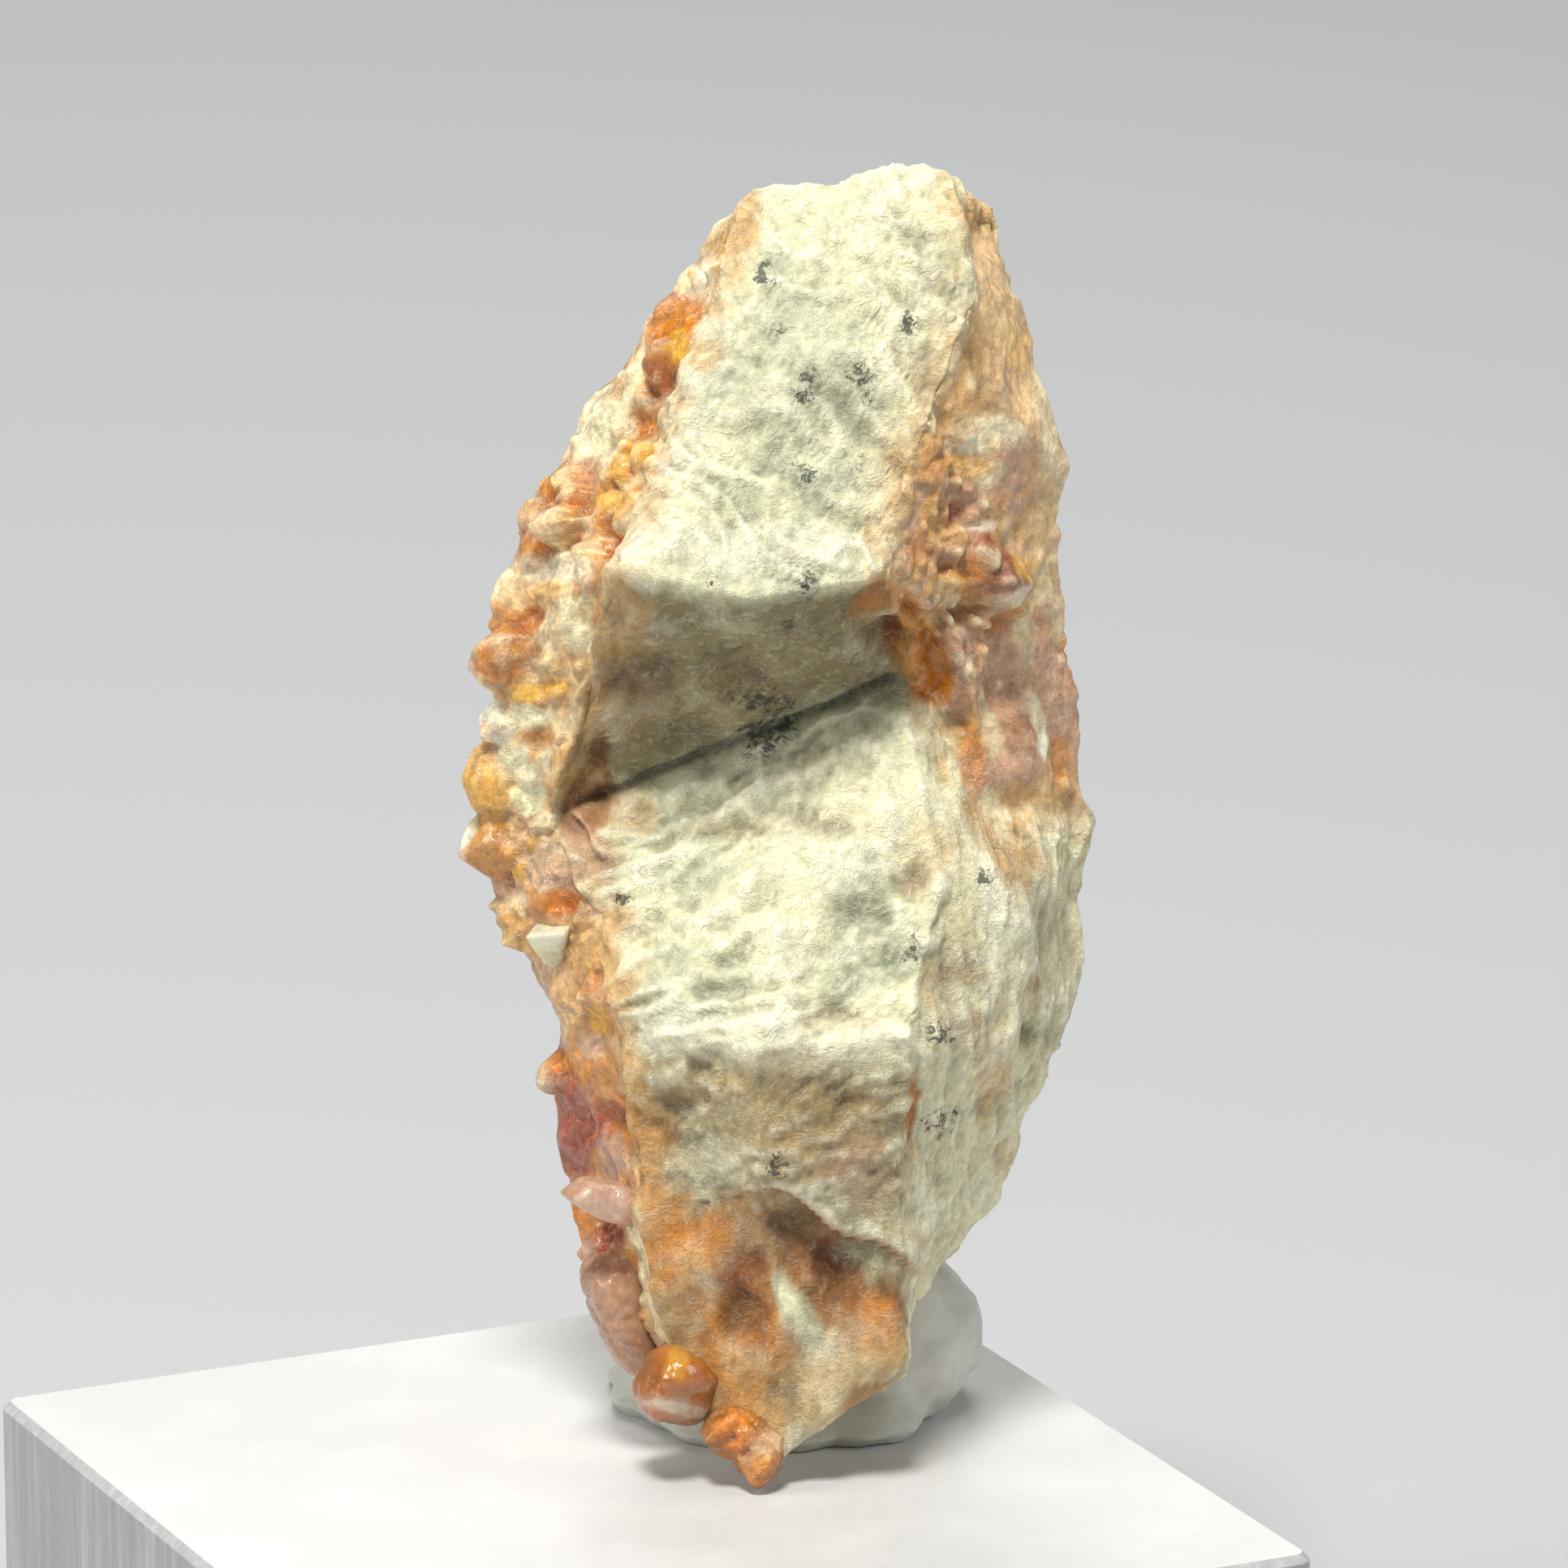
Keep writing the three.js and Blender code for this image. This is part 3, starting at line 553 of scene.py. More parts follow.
@dataclass
class MatrixRock:
    """The pale broken rock that carries the garnets, in millimetres.

    Under a crust it lies lower by the hollow, so that the crust fills its bed. Crumbs are layers of
    noise, each with its width, height, octaves and shift. Ridge and groove run up the right front.
    """

    crusts: tuple["GarnetCrust", ...]
    columns: int = 404
    rows: int = 243
    wander: float = 0.09
    hollow: float = 1.1
    crumbs: tuple[tuple[float, float, int, float], ...] = ((1.1, 0.15, 4, 2.0), (0.36, 0.08, 3, 9.0))
    slanting_folds: float = 0.25
    level_folds: float = 0.32
    low_folds: float = 0.2
    upright_folds: float = 0.2
    crease: float = 0.35
    ridge: float = 0.12
    groove: float = 0.05
    bevel: float = 0.35
    step_from: tuple[float, float] = (-0.6, 8.0)
    step_to: tuple[float, float] = (3.9, 5.5)
    step_height: float = 0.45
    border: float = 1.6

    def place(self) -> tuple[np.ndarray, np.ndarray]:
        """The grid's columns round and rings up, closer together on the front and at the ledges."""
        marks, amounts = [-2, -1, 0, 1, 5, 5.6, 7], [0.35, 0.6, 1, 1.3, 1, 0.45, 0.35]
        u = spaced((-2.0, 7.0), np.interp(np.linspace(-2, 7, 91), marks, amounts), self.columns, True)
        v = np.linspace(-1, 9, 501)
        heights = [0.3, 0.6, 1.1, 1.0, 0.9, 0.9, 0.95, 1.0, 0.9, 0.6, 0.25]
        density = np.interp(v, np.arange(-1, 10), heights)
        for ring, more in ((SECOND_LEDGE, 0.5), (CREASE, 1.3), (UPPER_LEDGE, 0.8)):
            density = density + more * band(v, ring, 0.12)
        return np.meshgrid(u, spaced((-1.0, 9.0), density, self.rows, False))

    def base(self, u: np.ndarray, v: np.ndarray) -> tuple[np.ndarray, ...]:
        """The rock's large form.

        Inside the rings it is panel_point(u', v'), where u' and v' wander by smooth noise so that no
        edge is straight. Past the end rings it runs straight to the middle of the top or underside.

        Args:
            u: Columns round.
            v: Rings up, with a ring's worth of cap at each end.

        Returns:
            Points, outward directions, and the wandered columns and rings.
        """
        inner = np.clip(v, 0, TOP_RING)
        first = panel_point(u, inner)
        calm = ramp(v, 0, 0.4) * (1 - ramp(v, TOP_RING - 0.4, TOP_RING))
        du = self.wander * (noise(first / 2.6) + 0.5 * noise(first / 1.1 + 3)) * calm
        dv = 0.6 * self.wander * (noise(first / 2.3 + 11) + 0.5 * noise(first / 1.0 + 8)) * calm
        p = panel_point(u + du, inner + dv)
        n = panel_normal(u + du, inner + dv)
        for past, middle, way in ((-v, UNDERSIDE_MIDDLE, -1.0), (v - TOP_RING, TOP_MIDDLE, 1.0)):
            share = np.clip(past, 0, 0.995)[..., None]
            p = p * (1 - share) + middle * share
            turn = ramp(past, -0.05, 0.45)[..., None]
            n = unit(n * (1 - turn) + np.array([0, 0, way]) * turn)
        return p, n, u + du, v + dv

    def folds(self, p: np.ndarray, u: np.ndarray, v: np.ndarray) -> np.ndarray:
        """Height of the long thin crests along the grain, in millimetres.

        They slant down to the right above the upper ledge, are nearly level below it, and stand
        upright on the right side and the lower front. Each set is a power of 1 - |noise| at three
        sizes, on coordinates stretched along the grain and bent by smooth noise.

        Args:
            p: Points of the large form.
            u: Columns round.
            v: Rings up.

        Returns:
            Heights about 0.
        """
        x, y, z = p[..., 0], p[..., 1], p[..., 2]
        front = ramp(u, 0.6, 1.0) * (1 - ramp(u, 3.0, 3.25))
        side = ramp(u, 3.0, 3.3) * (1 - ramp(u, 5.4, 6.0))
        bend = noise(p / 2.6 + 4) + 0.4 * noise(p / 1.1 + 7)
        down = np.stack([(z + 0.8 * x) / 0.9 + 0.8 * bend, (x - 0.8 * z) / 2.7, y / 2.0], axis=-1)
        level = np.stack([(z - 0.25 * x) / 0.95 + bend, (x + 0.25 * z) / 3.4, y / 2.5], axis=-1)
        upright = np.stack([(x + 0.4 * y) / 0.8 + 1.1 * bend, z / 4.0, y / 1.3], axis=-1)
        above, below = ramp(v, 4.97, 5.1), 1 - ramp(v, 3.95, 4.03)
        total = np.zeros(u.shape)
        for q, share, height in (
            (down, front * above, self.slanting_folds),
            (level, front * below * ramp(v, 1.9, 2.1), self.level_folds),
            (upright, np.maximum(side, 0.5 * front * (1 - ramp(v, 0.5, 1.2))), self.upright_folds),
            (level, front * (1 - ramp(v, 1.8, 2.0)) * ramp(v, 0.6, 1.2), self.low_folds),
        ):
            crests = (1 - np.abs(noise(q))) ** 3 + 0.5 * (1 - np.abs(noise(q * 2.1 + 13))) ** 3
            crests += 0.3 * (1 - np.abs(noise(q * 4.3 + 29))) ** 2
            total += share * height * (crests - 0.55)
        return total

    def step(self, right: np.ndarray, up: np.ndarray) -> tuple[np.ndarray, np.ndarray]:
        """The broken step across the lower front, in the front view.

        Args:
            right: Distances to the right.
            up: Heights.

        Returns:
            How far the rock falls back below the line from step_from to step_to, and a mask of the
            line itself. Both fade out past the line's ends.
        """
        (x0, y0), (x1, y1) = self.step_from, self.step_to
        along = (right - x0) / (x1 - x0)
        under = y0 + (y1 - y0) * along + 0.25 * np.sin(9 * along) - up
        window = ramp(along, -0.1, 0.15) * (1 - ramp(along, 0.95, 1.1))
        drop = ramp(under, -0.05, 0.15) * (1 - ramp(under, 1.0, 3.2))
        return self.step_height * drop * window, band(under, 0.05, 0.14) * window

    def height(self, p: np.ndarray, n: np.ndarray, u: np.ndarray, v: np.ndarray) -> np.ndarray:
        """Height of the broken surface over its large form, in millimetres, with no crust beds.

        It is relief(p), plus the crumbs, the folds and the right-front ridge, less the crease under the
        upper ledge, the bevel of the overhang's left edge, the step and the pits.

        Args:
            p: Points of the large form.
            n: Outward directions.
            u: Columns round.
            v: Rings up.

        Returns:
            Heights along the outward directions, which fade out at the end rings.
        """
        front = ramp(u, 0.9, 1.2) * (1 - ramp(u, 2.9, 3.1))
        right, up = front_view(p)
        facing = ramp(n @ TO_EYE, -0.15, 0.1)
        h = relief(p)
        for width, height, octaves, shift in self.crumbs:
            h = h + height * fractal(p / width, octaves, shift)
        h += self.folds(p, u, v)
        h -= self.crease * front * band(v, CREASE, 0.03)
        low = ramp(v, 0.3, 0.8) * (1 - ramp(v, 3.6, 4.0))
        uneven = 0.6 + 0.5 * fractal(p / 1.4, 2, 14.0)
        h += low * uneven * (self.ridge * band(u, RIGHT_RIDGE, 0.05) - self.groove * band(u, 3.11, 0.05))
        h -= self.bevel * (ramp(v, 3.95, 4.2) * (1 - ramp(v, 4.85, 5.02)) * band(u, LEFT_EDGE, 0.12))
        h -= facing * self.step(right, up)[0]
        wander = fractal(p / 0.9, 3, 5.0)
        for pit in ROCK_PITS:
            h -= facing * pit.drop(right, up, wander)
        return h * (1 - ramp(np.abs(v - 4), 4.85, 5.0))

    def colours(self, p: np.ndarray, n: np.ndarray, h: np.ndarray, u: np.ndarray, v: np.ndarray,
                around: bool = True) -> np.ndarray:
        """The rock's colour: cream, mottled with green-grey, with stains, painted highlights on crests and
        painted shade in hollows, in the crease and on the overhang.

        Args:
            p: Points of the large form.
            n: Outward directions.
            h: Height of the surface over it.
            u: Columns round.
            v: Rings up.
            around: Whether the last column of the sheet is next to the first.

        Returns:
            Linear colours, shape (..., 3).
        """
        front = ramp(u, 0.6, 1.0) * (1 - ramp(u, 3.0, 3.2))
        mottle, fine = fractal(p / 2.2, 5, 1.0), fractal(p / 0.45, 4, 6.0)
        c = mix(Tone.CREAM.rgb, Tone.GREENISH.rgb, 0.92 * ramp(mottle + 0.4 * fine, -0.3, 0.6))
        c = mix(c, Tone.WHITE.rgb, 0.4 * ramp(0.5 * fine - mottle, 0.15, 0.7))
        # The overhang: khaki that is partly its own brownish colour and partly painted shade, with weaker
        # painted highlights on its crests.
        under = front * ramp(v, 3.98, 4.05) * (1 - ramp(v, 4.9, 5.0))
        c = mix(c, Tone.KHAKI.rgb, 0.92 * under)
        c = mix(c, Tone.KHAKI.rgb, 0.7 * front * (1 - ramp(v + 0.12 * mottle, 1.75, 2.0)))
        side = ramp(u, 2.95, 3.1) * (1 - ramp(u, 5.0, 5.8))
        across = (p[..., 0] + 0.4 * p[..., 1]) / 0.35 + mottle
        streak = noise(np.stack([across, p[..., 2] / 3, p[..., 1] / 0.9], axis=-1))
        c = mix(c, Tone.TAN.rgb, side * (0.22 * ramp(mottle, -0.3, 0.3) + 0.3 * ramp(streak, 0.0, 0.7)))
        c = mix(c, Tone.WHITE.rgb, 0.45 * side * ramp(-streak, 0.15, 0.7))
        border = np.zeros(u.shape)
        for crust in self.crusts:
            near = crust.inside(u, v) + 2 * border_wander(p) + 0.6 + self.border
            border = np.maximum(border, ramp(near, 0, self.border))
        c = mix(c, mix(Tone.TAN.rgb, Tone.SHELL.rgb, ramp(fine, -0.3, 0.3)), 0.7 * border)
        # Painted highlights: crests, found as height over a blurred copy, are painted paler (WHITE, then
        # CREAM).
        small, large = h - blurred(h, 16, around), h - blurred(h, 160, around)
        crest = ramp(small + 0.25 * large, 0.02, 0.14)
        c = mix(c, Tone.WHITE.rgb, (0.7 - 0.5 * under) * (1 - 0.6 * border) * crest)
        c = patched(c, p, n, ROCK_PATCHES)
        c = mix(c, Tone.CREAM.rgb, 0.22 * crest)
        # Painted shade: hollows are painted darker.
        c = c * (1 - 0.42 * ramp(-small - 0.3 * large, 0.01, 0.18))[..., None]
        c = mix(c, Tone.RED_BROWN.rgb, 0.75 * self.step(*front_view(p))[1] * ramp(n @ TO_EYE, 0, 0.2))
        # Painted shade: a broken black line along the crease under the upper ledge.
        c = mix(c, Tone.BLACK.rgb, 0.4 * front * ramp(mottle, -0.5, 0.1) * band(v, CREASE, 0.02))
        # Fine grain changes the lightness at random; the overhang is darkened further as painted shade.
        return c * ((1 + 0.1 * fine) * (1 - 0.3 * under))[..., None]

    def specks(self, p: np.ndarray, n: np.ndarray) -> np.ndarray:
        """Where the small black growths are: soft uneven patches at the GROWTHS of the front view.

        Args:
            p: Points of the large form.
            n: Outward directions.

        Returns:
            Shares from 0 to 1.
        """
        total = np.zeros(p.shape[:-1])
        right, up = front_view(p)
        wander = fractal(p / 0.7, 3, 21.0)
        for x, z, r in GROWTHS:
            d = np.hypot(right - x, 0.8 * (up - z)) / r + 0.9 * wander
            total = np.maximum(total, 1 - ramp(d, 0.0, 1.35))
        return total * ramp(n @ TO_EYE, 0, 0.2)

    def build(self) -> bpy.types.Object:
        """Builds the rock as one closed mesh."""
        p, n, u, v = self.base(*self.place())
        h = self.height(p, n, u, v)
        colours = self.colours(p, n, h, u, v)
        for crust in self.crusts:
            h -= self.hollow * ramp(crust.inside(u, v) + border_wander(p), 0.1, 0.7)
        return closed_surface("matrix_rock", p + n * h[..., None], colours, self.specks(p, n))


DEEP_SHADE = np.array([0.72, 0.46, 0.3])


@dataclass(frozen=True)
class Bed:
    """Crystals of one size in a crust: how many, how large, how deep, their colours, and the part of
    the crust's height that they cover."""

    count: int
    radius: tuple[float, float]
    sunk: float
    tones: tuple[Tone, ...]
    span: tuple[float, float] = (0.01, 0.99)


@dataclass
class GarnetCrust:
    """A crust of joined crystals let into the rock, worked out as one closed sheet.

    The field runs over some rings, and at even steps up it from one column to another, as in the
    solid. Knobs are large single lumps: x, y, z, radius and tone. From the border inwards, the sheet
    leaves the rock's own height over the slope, in millimetres.
    """

    name: str
    node: str
    skin: "Skin"
    rings: tuple[float, float]
    start: tuple[float, ...]
    stop: tuple[float, ...]
    beds: tuple[Bed, ...]
    colour_patches: tuple[ColourPatch, ...]
    pits: tuple[Pit, ...]
    knobs: tuple[tuple[float, float, float, float, Tone], ...]
    bed_tones: tuple[Tone, Tone, Tone]
    seed: int
    stand: float = -0.1
    streaks: float = 0.0
    depth: float = 1.5
    slope: float = 0.35
    shade: float = 0.85
    across: int = 168
    up: int = 520
    under: int = 12

    def place(self, s: np.ndarray, t: np.ndarray) -> tuple[np.ndarray, np.ndarray]:
        """The column and ring of a point of the field, where s and t run from 0 to 1."""
        low, high = self.span(t)
        return low + (high - low) * s, self.rings[0] + (self.rings[1] - self.rings[0]) * t

    def span(self, t: np.ndarray) -> tuple[np.ndarray, np.ndarray]:
        """The field's first and last column at a share t of the way up it."""
        steps = np.linspace(0, 1, len(self.start))
        return np.interp(t, steps, self.start), np.interp(t, steps, self.stop)

    def inside(self, u: np.ndarray, v: np.ndarray) -> np.ndarray:
        """How far a place of the stone lies inside the field, in millimetres, below 0 outside it.

        A panel is taken to be 4.6 mm wide and 5 mm high all over.
        """
        t = (v - self.rings[0]) / (self.rings[1] - self.rings[0])
        low, high = self.span(t)
        wrapped = np.where(u < low - 2, u + COLUMNS, u)
        sideways = np.minimum(wrapped - low, high - wrapped) * 4.6
        return np.minimum(sideways, np.minimum(v - self.rings[0], self.rings[1] - v) * 5.0)

    def scatter(self) -> list[tuple[np.ndarray, float, np.ndarray, bool, np.ndarray]]:
        """Places every crystal, with a fixed seed.

        Returns:
            For each, its centre, radius, turn, whether it has 24 faces, and its colour.
        """
        rng = np.random.default_rng(self.seed)
        found = []
        for bed in self.beds:
            s, t = rng.random(bed.count), rng.random(bed.count)
            u, v = self.place(0.02 + 0.96 * s, bed.span[0] + (bed.span[1] - bed.span[0]) * t)
            r = bed.radius[0] + (bed.radius[1] - bed.radius[0]) * rng.random(bed.count) ** 2
            centre = panel_point(u, v) + panel_normal(u, v) * (self.stand - bed.sunk * r)[:, None]
            for c, size in zip(centre, r):
                tone = bed.tones[rng.integers(len(bed.tones))].rgb
                found.append((c, size, tone * (0.8 + 0.4 * rng.random())))
        for x, y, z, r, tone in self.knobs:
            found.append((np.array([x, y, z]), r, tone.rgb))
        turned = []
        for c, size, colour in found:
            turn, _ = np.linalg.qr(rng.normal(size=(3, 3)))
            stretch = np.diag(1 + 0.3 * rng.uniform(-1, 1, 3))
            turned.append((c, size, turn @ stretch, rng.random() < 0.4, colour))
        return turned

    def raise_crystals(self, p: np.ndarray, n: np.ndarray, h: np.ndarray, c: np.ndarray) -> None:
        """Raises the sheet to the outermost point of any crystal that its normal passes through.

        A crystal is the set of points q with k.q' <= d for each of its face directions k, where q' is
        q in the crystal's own frame. Along p + t n it spans from the largest t where n enters a face
        to the smallest t where it leaves one, and the sheet takes the upper end.

        Args:
            p: Points of the bed, shape (m, 3).
            n: Outward directions there.
            h: Heights, raised in place.
            c: Colours, changed in place where a crystal wins.
        """
        twelve = np.array([v for v in np.ndindex(3, 3, 3) if np.abs(np.array(v) - 1).sum() == 2]) - 1.0
        many = []
        for longest in range(3):
            for signs in np.ndindex(2, 2, 2):
                k = np.where(np.arange(3) == longest, 2.0, 1.0) * (1 - 2 * np.array(signs))
                many.append(k)
        faces = {False: (unit(twelve), 0.7071), True: (unit(np.array(many)), 0.8165)}
        for centre, r, form, rounder, colour in self.scatter():
            near = np.flatnonzero(((p - centre) ** 2).sum(axis=1) < (1.7 * r) ** 2)
            if not len(near):
                continue
            k, d = faces[rounder]
            k = k @ form.T
            a = (p[near] - centre) @ k.T / r
            b = n[near] @ k.T / r
            share = (d - a) / np.where(np.abs(b) < 1e-6, 1e-6, b)
            leave = np.where(b > 0, share, np.inf).min(axis=1)
            enter = np.where(b < 0, share, -np.inf).max(axis=1)
            won = (leave > enter) & (leave > h[near])
            h[near[won]] = leave[won]
            c[near[won]] = colour

    def build(self, rock: MatrixRock) -> bpy.types.Object:
        """Builds the crust: an outer sheet of crystals, and an inner one that lies in the rock.

        The sheet reaches a little past the field, and takes on the rock's own height and colour
        towards the border, where it dives under the rock.

        Args:
            rock: The rock that carries the crust.

        Returns:
            The new object.
        """
        s, t = np.meshgrid(np.linspace(-0.05, 1.05, self.across), np.linspace(-0.015, 1.015, self.up))
        u, v = self.place(s, t)
        p, n, u, v = rock.base(u, np.clip(v, 0, TOP_RING))
        around = np.where(u > 7, u - COLUMNS, u)
        rock_h = rock.height(p, n, around, v)
        rock_c = rock.colours(p, n, rock_h, around, v, False)
        inside = self.inside(u, v) + border_wander(p)
        right, up = front_view(p)
        fine, coarse = fractal(p / 0.4, 4, 2.0), fractal(p / 1.5, 4, 8.0)
        across = (p[..., 0] + 0.5 * p[..., 1]) / 0.5 + coarse
        grain = np.stack([across, p[..., 2] / 3.5, p[..., 1] / 2.0], axis=-1)
        smooth = 0.35 + 0.65 * (1 - ramp(v, 6.1, 6.7))
        rough = 0.06 * fine + self.streaks * (ridged(grain, 2.0) - 0.5)
        h = (self.stand + relief(p) + 0.2 * coarse + smooth * rough).ravel()
        first, second, third = (tone.rgb for tone in self.bed_tones)
        c = mix(first, second, ramp(coarse + 0.4 * fine, -0.3, 0.4))
        c = mix(c, third, ramp(fractal(p, 3, 31.0), 0.1, 0.5)).reshape(-1, 3)
        self.raise_crystals(p.reshape(-1, 3), n.reshape(-1, 3), h, c)
        h, c = h.reshape(s.shape), c.reshape(*s.shape, 3)
        facing = ramp(n @ TO_EYE, -0.15, 0.1)
        for pit in self.pits:
            h = h - facing * pit.drop(right, up, coarse)
        h = blurred(h, 2, False) + 0.03 * fine
        h = rock_h + (h - rock_h) * ramp(inside, 0, self.slope)
        c = patched(blurred(c, 6, False), p, n, self.colour_patches)
        # Painted light: crests are painted paler (SHELL) as painted highlights, and hollows darker towards
        # DEEP_SHADE as painted shade.
        crest = h - blurred(h, 40, False)
        c = mix(c, Tone.SHELL.rgb, 0.6 * ramp(crest + 0.06 * fine, 0.05, 0.25))
        c = c * mix(np.ones(3), DEEP_SHADE, self.shade * ramp(-crest, 0.03, 0.22))
        c = mix(rock_c, c, ramp(inside, 0, 1.3 * self.slope))
        h -= 0.45 * (1 - ramp(inside, -0.35, 0.12))
        c = c * (1 + 0.08 * fine)[..., None]
        back = np.linspace(self.across - 2, 1, self.under).round().astype(int)
        inner = p[:, back] - n[:, back] * self.depth
        points = np.concatenate([p + n * h[..., None], inner], axis=1)
        return closed_surface(self.name, points, np.concatenate([c, c[:, back]], axis=1))


